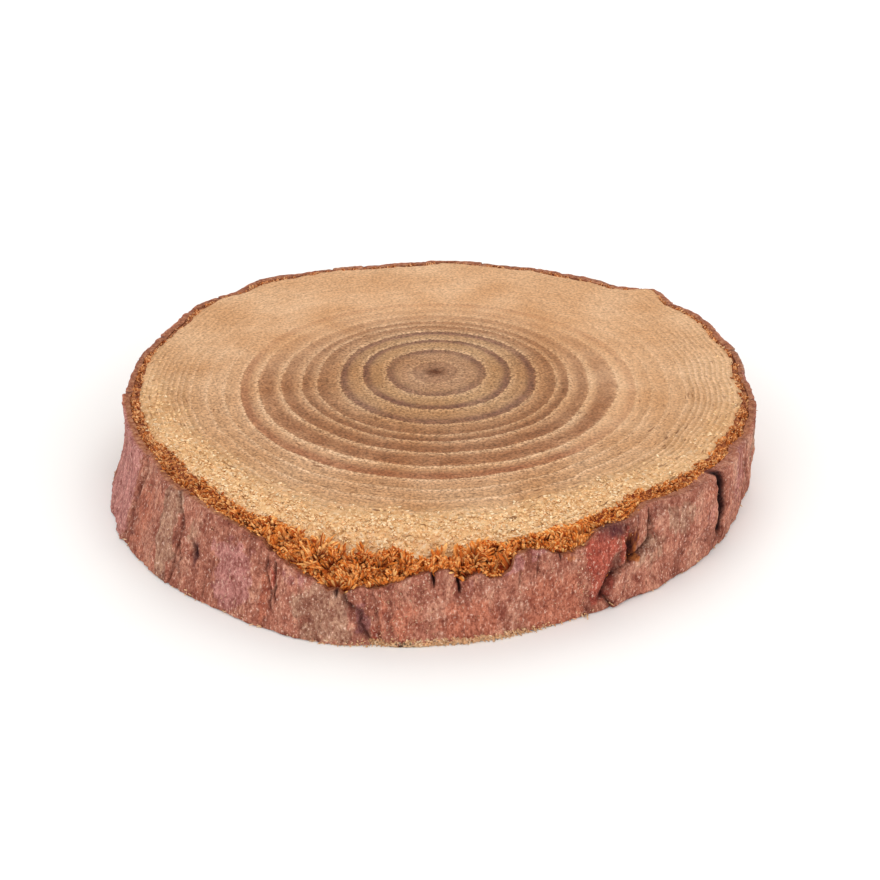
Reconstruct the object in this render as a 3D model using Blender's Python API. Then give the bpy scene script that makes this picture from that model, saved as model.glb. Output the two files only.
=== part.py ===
"""Wood slice: a 5 mm disc sawn straight across a small branch, with its bark on.

One solid, because wood, inner bark and bark grew together. The two sawn faces are flat and parallel. The bark
wall leans and flares a little towards the lower face, as the branch did, and along its front it is chipped
down, which bares a sloping belt of fibrous inner bark between the wood and the bark.

Metres, +Z up. The lower sawn face lies on z = 0, centred on the Z axis.
"""

import math

import bpy
import bmesh
from mathutils import Vector

MM = 0.001

# Driving dimensions
THICKNESS = 5.0 * MM
MEAN_RADIUS = 17.2 * MM        # upper sawn face, bark included
FLARE = 0.4 * MM               # how much larger the lower face's radius is
LEAN = Vector((-0.82, -0.5)) * MM   # how far the leaning branch carries the lower face along X and Y
RIM_WIDTH = 1.05 * MM          # bark and inner bark together, on the upper face
BARK_WIDTH = 0.55 * MM         # bark alone, on the upper face
EDGE_ROUND = 0.14 * MM         # worn edge of the bark at both sawn faces
CHIP_START = 0.03 * MM         # a chip shallower than this leaves the rim whole
WOOD_RETREAT = 0.3             # how far the wood's edge falls back, as a share of the chip's depth
INNER_BARK_DROP = 0.4          # how deep the inner bark slopes, as a share of the chip's depth

SEGMENTS = 180                 # around the slice
WALL_ROWS = 9                  # from the rim down to the lower face

# Swellings and hollows of the branch's outline: direction in degrees from +X, height in mm, width in degrees
OUTLINE_SWELLINGS = (
    (34, 0.34, 18),
    (45, 0.26, 5),
    (80, -0.16, 26),
    (126, 0.28, 5),
    (146, 0.62, 28),
    (-165, 0.20, 20),
    (-124, 0.56, 28),
    (-63, 0.20, 5),
    (-54, -0.92, 20),
    (-14, -0.34, 18),
)

# Chips in the bark's upper edge: direction in degrees, depth in mm, width in degrees
RIM_CHIPS = (
    (-118, 0.45, 4),
    (-105, 1.95, 6),
    (-97, 0.70, 4),
    (-89, 0.40, 4),
    (-80, 1.00, 5),
    (-66, 0.45, 3),
    (-40, 0.20, 4),
    (-12, 0.25, 3),
    (-150, 0.18, 3),
    (50, 0.20, 3),
    (133, 0.25, 3),
)

# Bark plates standing proud of the rest: first and last direction in degrees, height in mm
BARK_PLATES = (
    (-179, -156, 0.10),
    (-148, -141, 0.16),
    (-119, -104, 0.22),
    (-60, -51, 0.18),
    (-43, -24, 0.16),
    (12, 34, 0.14),
    (64, 88, 0.18),
    (112, 131, 0.15),
)
PLATE_EDGE = 1.6               # degrees over which a plate's edge rises

# Cracks down the bark: direction at the lower and at the upper face in degrees, depth in mm, width in degrees
BARK_CRACKS = (
    (-156, -154, 0.22, 1.8),
    (-139, -142, 0.16, 1.4),
    (-119, -121, 0.26, 1.5),
    (-101, -103, 0.40, 2.0),
    (-90, -90, 0.20, 1.3),
    (-86, -85, 0.18, 1.3),
    (-57, -45, 0.30, 2.2),
    (-22, -22, 0.36, 1.8),
    (8, 5, 0.22, 1.8),
    (40, 44, 0.18, 1.6),
    (61, 60, 0.24, 1.8),
    (92, 96, 0.18, 1.6),
    (109, 108, 0.16, 1.6),
    (136, 133, 0.22, 1.8),
    (160, 163, 0.20, 1.8),
)


def turn_between(angle, centre):
    """Turn from centre to angle in degrees, the short way round."""
    return (angle - centre + 180.0) % 360.0 - 180.0


def swell(angle, centre, width):
    """1 in the direction of centre, fading to 0 about two widths away from it; all in degrees."""
    return math.exp(-(turn_between(angle, centre) / width) ** 2)


def plate(angle, first, last):
    """1 between two directions and 0 outside them, with soft edges; all in degrees."""
    past_edge = (last - first) / 2 - abs(turn_between(angle, (first + last) / 2))
    return 0.5 + 0.5 * math.tanh(2.0 * past_edge / PLATE_EDGE)


def direction(angle):
    """Unit vector that points from the axis in a direction given in degrees."""
    return Vector((math.cos(math.radians(angle)), math.sin(math.radians(angle))))


def chip_depth(angle):
    """How far the bark's upper edge lies below the upper face."""
    depth = sum(depth * MM * swell(angle, centre, width) for centre, depth, width in RIM_CHIPS)
    return max(0.0, depth - CHIP_START)


def wall_radius(angle, z):
    """Outer radius of the bark at a height: outline, then lean and flare, then plates and cracks."""
    down = 1.0 - z / THICKNESS
    radius = MEAN_RADIUS
    radius += sum(height * MM * swell(angle, centre, width) for centre, height, width in OUTLINE_SWELLINGS)
    radius += down * (FLARE + LEAN.dot(direction(angle)))
    radius += sum(height * MM * plate(angle, first, last) for first, last, height in BARK_PLATES)
    for low, high, depth, width in BARK_CRACKS:
        radius -= depth * MM * swell(angle, low * down + high * (1.0 - down), width)
    return radius


def section(angle):
    """Radius and height of each point from the wood's upper edge, over the rim, down to the lower face."""
    chip = chip_depth(angle)
    edge = THICKNESS - chip
    rim = wall_radius(angle, THICKNESS)
    points = [
        (rim - RIM_WIDTH - WOOD_RETREAT * chip, THICKNESS),
        (rim - BARK_WIDTH, THICKNESS - INNER_BARK_DROP * chip),
        (wall_radius(angle, edge) - EDGE_ROUND, edge),
    ]
    top_row = edge - EDGE_ROUND
    for row in range(WALL_ROWS):
        z = top_row + (EDGE_ROUND - top_row) * row / (WALL_ROWS - 1)
        points.append((wall_radius(angle, z), z))
    points.append((wall_radius(angle, 0.0) - EDGE_ROUND, 0.0))
    return points


def make_material(name, colour, roughness):
    """Principled material with a plain colour."""
    material = bpy.data.materials.new(name)
    material.use_nodes = True
    shader = material.node_tree.nodes["Principled BSDF"]
    shader.inputs["Base Color"].default_value = (*colour, 1.0)
    shader.inputs["Roughness"].default_value = roughness
    shader.inputs["Metallic"].default_value = 0.0
    material.diffuse_color = (*colour, 1.0)
    return material


def make_slice():
    """The slice: one ring of the section's first points, pulled down ring by ring, then both faces closed."""
    angles = [360.0 * step / SEGMENTS for step in range(SEGMENTS)]
    sections = [section(angle) for angle in angles]

    bm = bmesh.new()
    ring = bmesh.ops.create_circle(bm, cap_ends=False, segments=SEGMENTS, radius=MEAN_RADIUS)["verts"]
    edges = list(bm.edges)
    upper_edges = edges
    for row in range(len(sections[0])):
        if row > 0:
            pulled = bmesh.ops.extrude_edge_only(bm, edges=edges)["geom"]
            ring = [item for item in pulled if isinstance(item, bmesh.types.BMVert)]
            edges = [item for item in pulled if isinstance(item, bmesh.types.BMEdge)]
        for vert in ring:
            angle = math.degrees(math.atan2(vert.co.y, vert.co.x))
            step = round(angle * SEGMENTS / 360.0) % SEGMENTS
            radius, z = sections[step][row]
            vert.co = (direction(angles[step]) * radius).to_3d() + Vector((0.0, 0.0, z))

    bmesh.ops.edgeloop_fill(bm, edges=upper_edges, mat_nr=0)
    bmesh.ops.edgeloop_fill(bm, edges=edges, mat_nr=0)
    bmesh.ops.recalc_face_normals(bm, faces=bm.faces)
    for face in bm.faces:
        centre = face.calc_center_median()
        if len(face.verts) == 4:
            angle = math.degrees(math.atan2(centre.y, centre.x))
            on_bark = centre.xy.length > wall_radius(angle, THICKNESS) - BARK_WIDTH or abs(face.normal.z) < 0.5
            face.material_index = 2 if on_bark else 1

    low = [min(vert.co[axis] for vert in bm.verts) for axis in (0, 1)]
    high = [max(vert.co[axis] for vert in bm.verts) for axis in (0, 1)]
    centre = Vector(((low[0] + high[0]) / 2, (low[1] + high[1]) / 2, 0.0))
    bmesh.ops.translate(bm, verts=bm.verts, vec=-centre)

    mesh = bpy.data.meshes.new("wood_slice")
    bm.to_mesh(mesh)
    bm.free()
    mesh.shade_smooth()
    mesh.set_sharp_from_angle(angle=math.radians(35))
    mesh.materials.append(make_material("sawn_wood", (0.62, 0.38, 0.20), 0.85))
    mesh.materials.append(make_material("inner_bark", (0.50, 0.18, 0.05), 0.95))
    mesh.materials.append(make_material("bark", (0.32, 0.15, 0.13), 0.90))
    slice_object = bpy.data.objects.new("wood_slice", mesh)
    bpy.context.scene.collection.objects.link(slice_object)
    return slice_object


for old in list(bpy.data.objects):
    bpy.data.objects.remove(old, do_unlink=True)

make_slice()
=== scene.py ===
"""Wood slice: the looks of a slice sawn across a small branch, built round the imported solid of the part.

Four kinds of piece stand for the one solid: the sawn wood, the bark round it, the belt of inner bark between
them, and the loose matter that a coarse saw leaves, which is fibres, fuzz, crumbs and a burr. Directions are
degrees about the slice's axis from +X, and the tables' lengths are millimetres.
"""

import math

import bmesh
import bpy
import numpy as np
from bpy.props import FloatProperty, FloatVectorProperty, IntProperty, PointerProperty
from mathutils import Matrix, Vector, noise
from mathutils.bvhtree import BVHTree


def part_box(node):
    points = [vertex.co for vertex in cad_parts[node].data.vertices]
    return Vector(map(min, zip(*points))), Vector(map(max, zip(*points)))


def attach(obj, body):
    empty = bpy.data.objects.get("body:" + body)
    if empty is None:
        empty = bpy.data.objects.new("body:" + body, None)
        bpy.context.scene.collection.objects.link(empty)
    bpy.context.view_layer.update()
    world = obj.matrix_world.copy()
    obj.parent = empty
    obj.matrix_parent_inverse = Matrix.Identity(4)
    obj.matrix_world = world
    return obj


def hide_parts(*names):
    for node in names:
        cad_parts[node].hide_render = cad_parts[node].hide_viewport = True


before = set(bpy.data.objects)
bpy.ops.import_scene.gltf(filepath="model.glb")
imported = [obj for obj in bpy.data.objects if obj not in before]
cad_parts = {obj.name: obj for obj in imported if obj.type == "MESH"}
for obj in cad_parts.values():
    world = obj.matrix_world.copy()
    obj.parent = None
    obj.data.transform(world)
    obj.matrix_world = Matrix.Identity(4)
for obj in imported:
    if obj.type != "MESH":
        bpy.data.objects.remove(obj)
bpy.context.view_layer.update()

bl_info = {
    "name": "Wood slice",
    "version": (1, 0, 0),
    "blender": (4, 5, 0),
    "location": "3D View > Sidebar > Wood slice",
    "description": "Builds a sawn slice of a small branch with its bark round a packed part",
    "category": "Add Mesh",
}

MM = 0.001
NODE = "wood_slice"
BODY = "root"
LOW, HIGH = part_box(NODE)
THICKNESS = HIGH.z - LOW.z
CENTRE = Vector(((LOW.x + HIGH.x) / 2, (LOW.y + HIGH.y) / 2, LOW.z))

# Growth rings
PITH = np.array((CENTRE.x, CENTRE.y)) + np.array((0.10, 2.72)) * MM
PITH_SHIFT = np.array((0.05, -2.16)) * MM    # from the pith to the middle of the full-grown rings
SHIFT_RADIUS = 10.5 * MM                     # a ring of this size has the whole shift
SHIFT_POWER = 1.8                            # how late in the branch's growth the shift came
SHIFT_ROUNDS = 6                             # a ring's radius and shift depend on each other, and settle so
RING_RADII = (0.0, 1.3, 2.75, 4.1, 5.5, 6.45, 7.05, 8.0, 9.1, 10.1, 11.0, 12.1, 13.2, 13.75, 14.05, 14.5,
              14.75, 15.15, 15.4, 15.8, 16.05, 16.4)
WOOD_RADIUS = RING_RADII[-1] * MM            # the last ring, at the edge of the wood
YEARS = len(RING_RADII) - 1
OUTLINE_START = 0.62                         # share of the way out from which rings take on the outline
# How much wider the rings grew than towards the front: direction, then a value for each of WIDENED_RADII
WIDENED_RADII = (1.5, 4.0, 5.5, 7.05, 9.1, 10.1)
RING_WIDENING = (
    (-180, 0.0, 0.0, -0.15, 0.35, 0.70, 0.76), (-156, 0.0, 0.0, -0.10, 0.25, 0.47, 0.60),
    (-132, 0.0, 0.0, -0.05, 0.08, 0.20, 0.33), (-108, 0.0, 0.0, 0.0, 0.0, 0.05, 0.08),
    (-90, 0.0, 0.0, 0.0, 0.0, 0.04, 0.04), (-72, 0.0, 0.0, 0.0, 0.0, 0.12, 0.05),
    (-54, 0.0, 0.08, 0.12, 0.10, 0.30, 0.15), (-36, 0.0, 0.12, 0.15, 0.25, 0.50, 0.40),
    (-18, 0.0, 0.12, 0.15, 0.27, 0.52, 0.75), (0, 0.0, 0.15, 0.15, 0.25, 0.58, 1.00),
    (24, 0.0, 0.30, 0.22, 0.35, 0.75, 1.10), (60, 0.0, 0.40, 0.28, 0.35, 0.80, 1.00),
    (90, 0.0, 0.45, 0.30, 0.40, 0.85, 0.95), (120, 0.0, 0.40, 0.20, 0.40, 0.90, 1.00),
    (144, 0.0, 0.30, 0.05, 0.40, 0.90, 1.15), (168, 0.0, 0.10, -0.10, 0.35, 0.75, 0.90),
)
# What light did to the wood: direction about the rings' middle, how bleached it is, how far that hides rings
BLEACHING = (
    (-180, 0.44, 0.32), (-160, 0.22, 0.15), (-138, 0.10, 0.05), (-60, 0.0, 0.0), (-42, 0.35, 0.0),
    (-22, 0.85, 0.10), (0, 1.0, 0.30), (20, 1.0, 0.60), (45, 0.95, 0.90), (90, 1.0, 1.0), (135, 0.95, 0.92),
    (155, 0.75, 0.85), (170, 0.60, 0.50),
)
# Where the torn zone starts, as a ring's radius, and how torn it is: direction, radius, share
TORN_ZONE = (
    (-180, 13.2, 0.35), (-165, 12.8, 0.52), (-150, 12.5, 0.80), (-130, 12.4, 0.95), (-95, 12.5, 1.00),
    (-82, 12.2, 1.00), (-60, 12.2, 0.95), (-45, 12.6, 0.70), (-30, 13.2, 0.48), (-15, 13.6, 0.34),
    (0, 14.2, 0.24), (40, 15.2, 0.12), (90, 15.9, 0.05), (140, 15.9, 0.05), (165, 14.8, 0.15),
)

# Depth of the bark's chipped upper edge below the sawn face: direction, depth
BARK_CHIP = (
    (-178, 0.16), (-168, 0.14), (-157, 0.18), (-150, 0.26), (-142, 0.22), (-136, 0.26), (-130, 0.38),
    (-125, 0.45), (-121.5, 0.70), (-119.2, 1.15), (-113.7, 1.55), (-110.2, 1.90), (-107.7, 2.20),
    (-105.6, 2.26), (-104.9, 2.50), (-103.6, 2.20), (-102.4, 2.12), (-99.4, 2.14), (-96.0, 1.80),
    (-93.9, 1.40), (-91.0, 1.12), (-90.0, 1.30), (-89.0, 1.08), (-86.6, 1.16), (-85.6, 1.56), (-84.9, 1.60),
    (-82.6, 1.40), (-80.5, 1.62), (-78.2, 1.66), (-76.8, 1.40), (-76.0, 0.62), (-73.2, 0.42), (-71.6, 0.55),
    (-69.6, 0.80), (-66.0, 1.15), (-62.7, 1.00), (-60.9, 0.36), (-57.0, 0.20), (-50.0, 0.16), (-40.0, 0.24),
    (-30.0, 0.16), (-20.0, 0.20), (-12.5, 0.42), (-10.0, 0.22), (0.0, 0.16), (20.0, 0.20), (34.0, 0.14),
    (46.0, 0.30), (60.0, 0.16), (78.0, 0.26), (90.0, 0.18), (113.0, 0.32), (120.0, 0.16), (128.0, 0.16),
    (133.0, 0.38), (141.0, 0.16), (150.0, 0.22), (165.0, 0.20),
)
# Width of bark and inner bark together on the upper face: direction, width
RIM_WIDTH = (
    (-174, 0.86), (-161, 0.95), (-152, 1.20), (-143, 1.38), (-135, 1.24), (-127, 1.06), (-121, 1.10),
    (-112, 0.95), (-104, 0.95), (-97, 1.00), (-92, 0.88), (-86, 0.72), (-81, 1.00), (-76, 0.90), (-70, 0.85),
    (-61, 1.20), (-56, 1.40), (-48, 1.30), (-42, 1.34), (-36, 1.44), (-29, 1.45), (-23, 1.30), (-17, 1.10),
    (-9, 0.95), (-3, 0.76), (15, 0.58), (30, 0.50), (45, 0.52), (58, 0.56), (75, 0.64), (100, 0.64),
    (130, 0.64), (145, 0.62), (155, 0.60), (165, 0.66), (175, 0.78),
)
# How far the wood's broken edge has dropped where the bark is chipped: direction, depth
WOOD_DROP = (
    (-119, 0.0), (-113, 0.25), (-108, 0.70), (-103, 0.85), (-97, 0.72), (-91, 0.90), (-86, 0.66),
    (-81, 0.28), (-76, 0.04), (-72, 0.0),
)
DROP_REACH = 1.7 * MM

# How the bark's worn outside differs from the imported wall: direction, at the foot, halfway up, at the rim
WALL_TRIM = (
    (-180, -0.12, -0.26, 0.44), (-172, -0.04, -0.26, 0.30), (-168, 0.14, -0.18, 0.20),
    (-162, 0.0, -0.12, 0.08), (-156, 0.45, 0.12, 0.0), (-150, 0.28, 0.10, 0.0), (-144, 0.0, 0.04, 0.0),
    (-138, 0.22, 0.04, 0.0), (-131, -0.02, 0.0, 0.0), (-126, -0.06, 0.0, 0.0), (-120, 0.16, 0.0, 0.0),
    (-114, 0.04, 0.0, 0.0), (-108, -0.02, -0.02, 0.0), (-102, 0.0, 0.0, 0.0), (-96, 0.20, 0.05, 0.0),
    (-90, -0.14, -0.02, 0.0), (-84, -0.10, -0.02, 0.0), (-78, -0.30, -0.08, 0.0), (-72, -0.32, -0.12, 0.0),
    (-64, -0.32, -0.12, 0.0), (-59, -0.22, -0.10, 0.0), (-54, -0.24, -0.12, 0.0), (-47, 0.05, 0.0, 0.0),
    (-36, -0.22, -0.08, 0.0), (-30, -0.36, -0.18, 0.0), (-24, -0.32, -0.10, 0.0), (-18, 0.05, 0.0, 0.0),
    (-12, -0.22, -0.07, 0.0), (-6, 0.18, 0.05, 0.0), (4, 0.05, -0.06, -0.26), (10, -0.20, -0.25, -0.38),
    (16, -0.30, -0.30, -0.34), (24, -0.45, -0.45, -0.50), (34, -0.20, -0.18, -0.12),
    (40, -0.16, -0.16, -0.16), (43.5, -0.10, 0.0, 0.40), (46.5, -0.05, 0.10, 0.84), (49, -0.16, -0.14, 0.10),
    (52, -0.22, -0.24, -0.32), (58, -0.15, -0.12, -0.09), (64, -0.22, -0.24, -0.38),
    (70, -0.18, -0.16, -0.17), (76, -0.15, -0.16, -0.24), (82, -0.05, -0.05, -0.02), (88, -0.02, 0.04, 0.27),
    (94, -0.04, 0.0, 0.06), (100, -0.05, -0.03, 0.03), (106, 0.05, 0.10, 0.20), (112, 0.10, 0.17, 0.32),
    (118, 0.10, 0.12, 0.18), (124, 0.20, 0.25, 0.38), (130, 0.25, 0.35, 0.58), (135.5, 0.28, 0.42, 0.82),
    (142, 0.20, 0.30, 0.62), (148, 0.08, 0.12, 0.24), (155, 0.06, 0.12, 0.26), (161, 0.02, 0.22, 0.54),
    (168, -0.05, 0.12, 0.46), (174, -0.10, 0.0, 0.46),
)
# How fresh and orange the inner bark is: direction, share
BAST_FRESHNESS = (
    (-180, 0.20), (-165, 0.30), (-150, 0.50), (-135, 0.70), (-122, 0.90), (-110, 1.00), (-60, 1.00),
    (-50, 0.80), (-38, 0.62), (-25, 0.58), (-12, 0.36), (0, 0.20), (10, 0.15), (40, 0.12), (70, 0.05),
    (100, 0.0), (140, 0.08), (165, 0.15),
)

# Edges of bark plates: points from the foot up (direction, height), the side that stands proud (+1 is towards
# larger directions), its height, how far it takes to fade away, and the depth of the gap beside it
PLATE_EDGES = (
    (((-156.9, 0.0), (-156.3, 1.5), (-155.7, 3.0), (-155.5, 4.1), (-156.4, 5.0)), -1, 0.18, 3.5, 0.07),
    (((-145.6, 0.0), (-145.3, 1.2), (-144.4, 3.0), (-144.0, 4.0), (-143.4, 5.0)), 1, 0.10, 3.0, 0.05),
    (((-140.0, 0.0), (-139.7, 1.2), (-139.4, 2.4), (-139.6, 3.6), (-141.6, 4.5), (-142.4, 5.0)), -1,
     0.13, 2.5, 0.09),
    (((-138.6, 1.0), (-137.4, 1.7), (-138.2, 2.4), (-139.2, 2.9)), 1, 0.07, 0.9, 0.08),
    (((-117.2, 1.3), (-117.0, 2.0), (-118.3, 2.8), (-119.0, 3.6)), 1, 0.10, 2.0, 0.12),
    (((-99.9, 0.0), (-101.6, 0.7), (-102.4, 1.1), (-102.5, 1.7), (-104.6, 2.2), (-105.7, 2.8)), -1,
     0.15, 5.0, 0.10),
    (((-98.7, 0.0), (-98.9, 1.0), (-99.3, 2.0), (-100.0, 2.9)), 1, 0.10, 0.5, 0.06),
    (((-56.9, 0.2), (-58.75, 1.0), (-58.1, 1.7), (-54.4, 2.2), (-50.0, 2.6), (-47.5, 3.1), (-47.2, 4.0)), 1,
     0.30, 4.5, 0.12),
    (((-53.6, 2.4), (-54.4, 3.2), (-54.8, 4.4)), -1, 0.22, 1.2, 0.14),
    (((-27.2, 0.0), (-27.5, 1.2), (-28.4, 2.6), (-29.2, 3.6), (-29.7, 5.0)), 1, 0.06, 3.5, 0.10),
    (((-76.0, 2.9), (-75.6, 3.6), (-76.4, 4.4)), -1, 0.08, 0.9, 0.05),
)
# Narrow cracks down the bark: direction and height of the lower and the upper end, depth, half width
BARK_CRACKS = (
    (-89.8, 3.05, -89.8, 4.30, 0.34, 0.08),
    (-85.7, 2.60, -86.0, 4.10, 0.30, 0.07),
    (-84.5, 3.50, -84.2, 4.10, 0.30, 0.14),
    (-105.8, 2.40, -106.0, 3.10, 0.30, 0.10),
    (-28.3, 0.75, -30.9, 4.95, 0.42, 0.18),
    (-27.5, 0.80, -30.0, 4.60, 0.38, 0.24),
    (-46.8, 2.90, -47.6, 4.60, 0.16, 0.05),
    (-116.4, 1.55, -117.4, 3.50, 0.20, 0.06),
    (-131.2, 0.20, -131.6, 1.10, 0.10, 0.05),
    (-134.0, 2.00, -135.6, 2.90, 0.10, 0.12),
    (-137.4, 0.70, -138.9, 2.30, 0.12, 0.06),
    (-59.8, 0.60, -55.2, 3.20, 0.13, 0.30),
    (-67.8, 3.60, -67.4, 4.30, 0.20, 0.06),
    (-72.0, 3.10, -71.8, 4.30, 0.12, 0.05),
)
# Dents and knobs: direction, height, half width in degrees, half height, how far they stand out
BARK_KNOBS = (
    (-134.5, 2.40, 1.0, 0.40, -0.16),
    (-133.6, 2.05, 0.5, 0.25, -0.12),
    (-137.0, 2.75, 1.4, 0.50, 0.10),
    (-60.0, 3.20, 2.6, 1.60, 0.16),
    (-52.9, 3.10, 1.0, 0.70, -0.36),
    (-101.4, 0.90, 0.9, 1.00, -0.10),
    (-75.0, 4.15, 1.3, 0.45, 0.10),
    (-71.5, 3.90, 1.0, 0.40, 0.08),
    (-124.5, 2.30, 2.0, 1.50, 0.05),
    (-94.0, 1.60, 1.8, 0.80, 0.06),
    (-79.5, 1.50, 2.5, 1.20, 0.05),
)
# Patches of colour on the bark: tone, direction, height, half width in degrees, half height, strength. The
# dark patches are no colour of the bark but painted shade in its hollows and gaps.
BARK_PATCHES = (
    ("mauve", -166.5, 2.5, 10.5, 4.0, 1.0),
    ("mauve", -126.0, 2.0, 4.5, 1.9, 0.80),
    ("mauve", -125.0, 3.6, 4.0, 0.5, 0.50),
    ("mauve", -77.0, 4.1, 1.8, 0.6, 0.85),
    ("mauve", -72.0, 4.3, 1.3, 0.4, 0.7),
    ("mauve", -83.0, 2.9, 3.0, 0.9, 0.35),
    ("mauve", -33.0, 2.2, 3.0, 1.6, 0.40),
    ("mauve", -20.0, 3.0, 6.0, 3.0, 0.45),
    ("mauve", -113.5, 3.0, 2.5, 0.6, 0.5),
    ("mauve", -101.6, 1.4, 0.7, 0.9, 0.8),
    ("grey", -142.6, 2.5, 2.5, 2.9, 1.0),
    ("grey", -108.0, 1.5, 6.0, 1.7, 0.70),
    ("grey", -48.5, 2.4, 4.5, 1.2, 0.55),
    ("grey", -41.0, 3.6, 4.0, 1.3, 0.55),
    ("grey", -37.0, 1.8, 2.0, 1.0, 0.35),
    ("grey", -136.0, 3.4, 3.0, 0.8, 0.45),
    ("salmon", -151.5, 2.0, 3.4, 2.6, 0.55),
    ("salmon", -119.0, 1.6, 0.9, 1.6, 0.75),
    ("salmon", -99.0, 1.3, 0.6, 1.5, 0.85),
    ("salmon", -94.5, 1.3, 3.5, 1.4, 0.55),
    ("salmon", -84.0, 1.2, 6.5, 1.4, 0.60),
    ("salmon", -69.0, 1.3, 6.5, 1.8, 0.75),
    ("salmon", -33.0, 4.2, 3.0, 0.9, 0.45),
    ("red", -59.4, 3.0, 3.2, 2.0, 0.74),
    ("red", -60.0, 1.5, 1.7, 1.4, 0.62),
    ("red", -54.6, 3.5, 1.6, 1.2, 0.80),
    ("red", -100.4, 0.5, 0.7, 0.6, 0.6),
    ("red", -117.8, 2.7, 0.8, 0.9, 0.5),
    ("orange", -52.6, 3.1, 1.7, 0.90, 1.0),
    ("orange", -66.0, 4.0, 1.3, 0.5, 0.5),
    ("dark_shade", -134.6, 2.40, 0.9, 0.60, 1.0),
    ("dark_shade", -101.9, 1.0, 0.9, 1.0, 0.50),
    ("dark_shade", -103.6, 1.9, 0.9, 0.35, 0.35),
    ("dark_shade", -57.2, 4.55, 2.6, 0.38, 0.80),
    ("dark_shade", -58.9, 1.6, 0.8, 0.8, 0.30),
    ("dark_shade", -56.2, 2.7, 0.8, 0.7, 0.22),
    ("dark_shade", -54.2, 3.6, 0.8, 0.8, 0.28),
    ("dark_shade", -52.4, 3.1, 1.5, 0.8, 0.62),
    ("dark_shade", -46.0, 4.4, 1.6, 0.4, 0.30),
)
TONES = ("mauve", "salmon", "grey", "red", "orange", "dark_shade")


def linear(code):
    """Linear colour of an sRGB hex code such as #C8A070."""
    parts = [int(code[place:place + 2], 16) / 255 for place in (1, 3, 5)]
    return tuple(part / 12.92 if part <= 0.04045 else ((part + 0.055) / 1.055) ** 2.4 for part in parts)


def colour_property(name, description, code):
    """Colour that the sidebar shows, with an sRGB hex code as its default."""
    return FloatVectorProperty(name=name, description=description, default=linear(code), size=3,
                               subtype="COLOR", min=0.0, max=1.0)


def length_property(name, description, default):
    """Length that the sidebar shows."""
    return FloatProperty(name=name, description=description, default=default, unit="LENGTH", precision=5,
                         min=0.0)


def count_property(name, description, default):
    """Number of like pieces that the sidebar shows."""
    return IntProperty(name=name, description=description, default=default, min=0)


class WoodSliceSizes(bpy.types.PropertyGroup):
    """Sizes of the surface detail."""

    ring_relief: length_property("Ring relief", "How far the pale lines of the rings stand up", 0.022 * MM)
    torn_relief: length_property("Torn relief", "Depth of the torn, fuzzy zone near the edge", 0.19 * MM)
    bark_relief: length_property("Bark relief", "Depth of the bark's grain", 0.06 * MM)
    bark_width: length_property("Bark width", "Thickness of the bark alone at the upper face", 0.34 * MM)
    fibre_radius: length_property("Fibre radius", "Radius of an inner bark fibre", 0.090 * MM)
    fuzz_radius: length_property("Fuzz radius", "Radius of a torn wood fibre", 0.092 * MM)
    fibre_count: count_property("Fibres", "Frayed inner bark fibres in the chips", 4600)
    stub_count: count_property("Stubs", "Sawn inner bark fibres round the rim", 6200)
    fuzz_count: count_property("Fuzz", "Torn wood fibres on the upper face", 6200)
    crumb_count: count_property("Crumbs", "Crumbs of sawdust on the bark", 620)
    burr_count: count_property("Burr", "Fibres of the burr along the lower edge", 1500)


class WoodSliceColours(bpy.types.PropertyGroup):
    """Colours of the wood and the bark."""

    heartwood: colour_property("Heartwood", "Older wood round the pith", "#B68661")
    sapwood: colour_property("Sapwood", "Younger wood outside it", "#C99C75")
    bleached: colour_property("Bleached wood", "Wood at the back, bleached by light", "#DDB28A")
    dark_rings: colour_property("Dark rings", "Latewood of the innermost rings", "#86604F")
    pale_lines: colour_property("Pale lines", "Fuzzy earlywood lines between rings", "#ECC49D")
    fuzz: colour_property("Fuzz", "Torn fibres of the sapwood", "#F7CB96")
    bark: colour_property("Bark", "Bark between its patches", "#C48A74")
    mauve: colour_property("Mauve bark", "Fresh smooth bark", "#CA9591")
    salmon: colour_property("Salmon bark", "Rubbed bark near the foot", "#CF8B70")
    red_bark: colour_property("Red bark", "Young bark under a lost scale", "#BC6250")
    grey_bark: colour_property("Grey bark", "Weathered outermost scales", "#B6967F")
    # Painted shade in the gaps between inner bark fibres and at their roots
    fibre: colour_property("Inner bark", "Fibres of the inner bark", "#EA8B38")
    fibre_gap_shade: colour_property("Inner bark gaps", "Gaps between those fibres", "#701E04")
    paper: colour_property("Floor", "Seamless paper under the slice", "#FBFAF8")


def sizes():
    """Sizes that the sidebar shows."""
    return bpy.context.scene.wood_slice_sizes


def colours():
    """Colours that the sidebar shows."""
    return bpy.context.scene.wood_slice_colours


# Shape of the slice

WALL_STEPS = 720
WALL_PLACES = np.arange(WALL_STEPS) * 360 / WALL_STEPS               # their directions
WALL_LEVELS = (LOW.z + 0.08 * THICKNESS, LOW.z + 0.5 * THICKNESS)    # both lie below every chip
SMOOTHING = 12                                                       # wall steps each way
WALL_INSET = 0.08 * MM                                               # room for the bark's relief
BOX_MARGIN = 0.005 * MM                                              # least gap between a piece and the box
FACE_DEPTH = 0.08 * MM                                               # of the smooth face below the box's top
SWELLING_MIDDLE = -30                                                # direction where the bark is thickest
SWELLING_SPREAD = 13                                                 # degrees to each side of it


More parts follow.
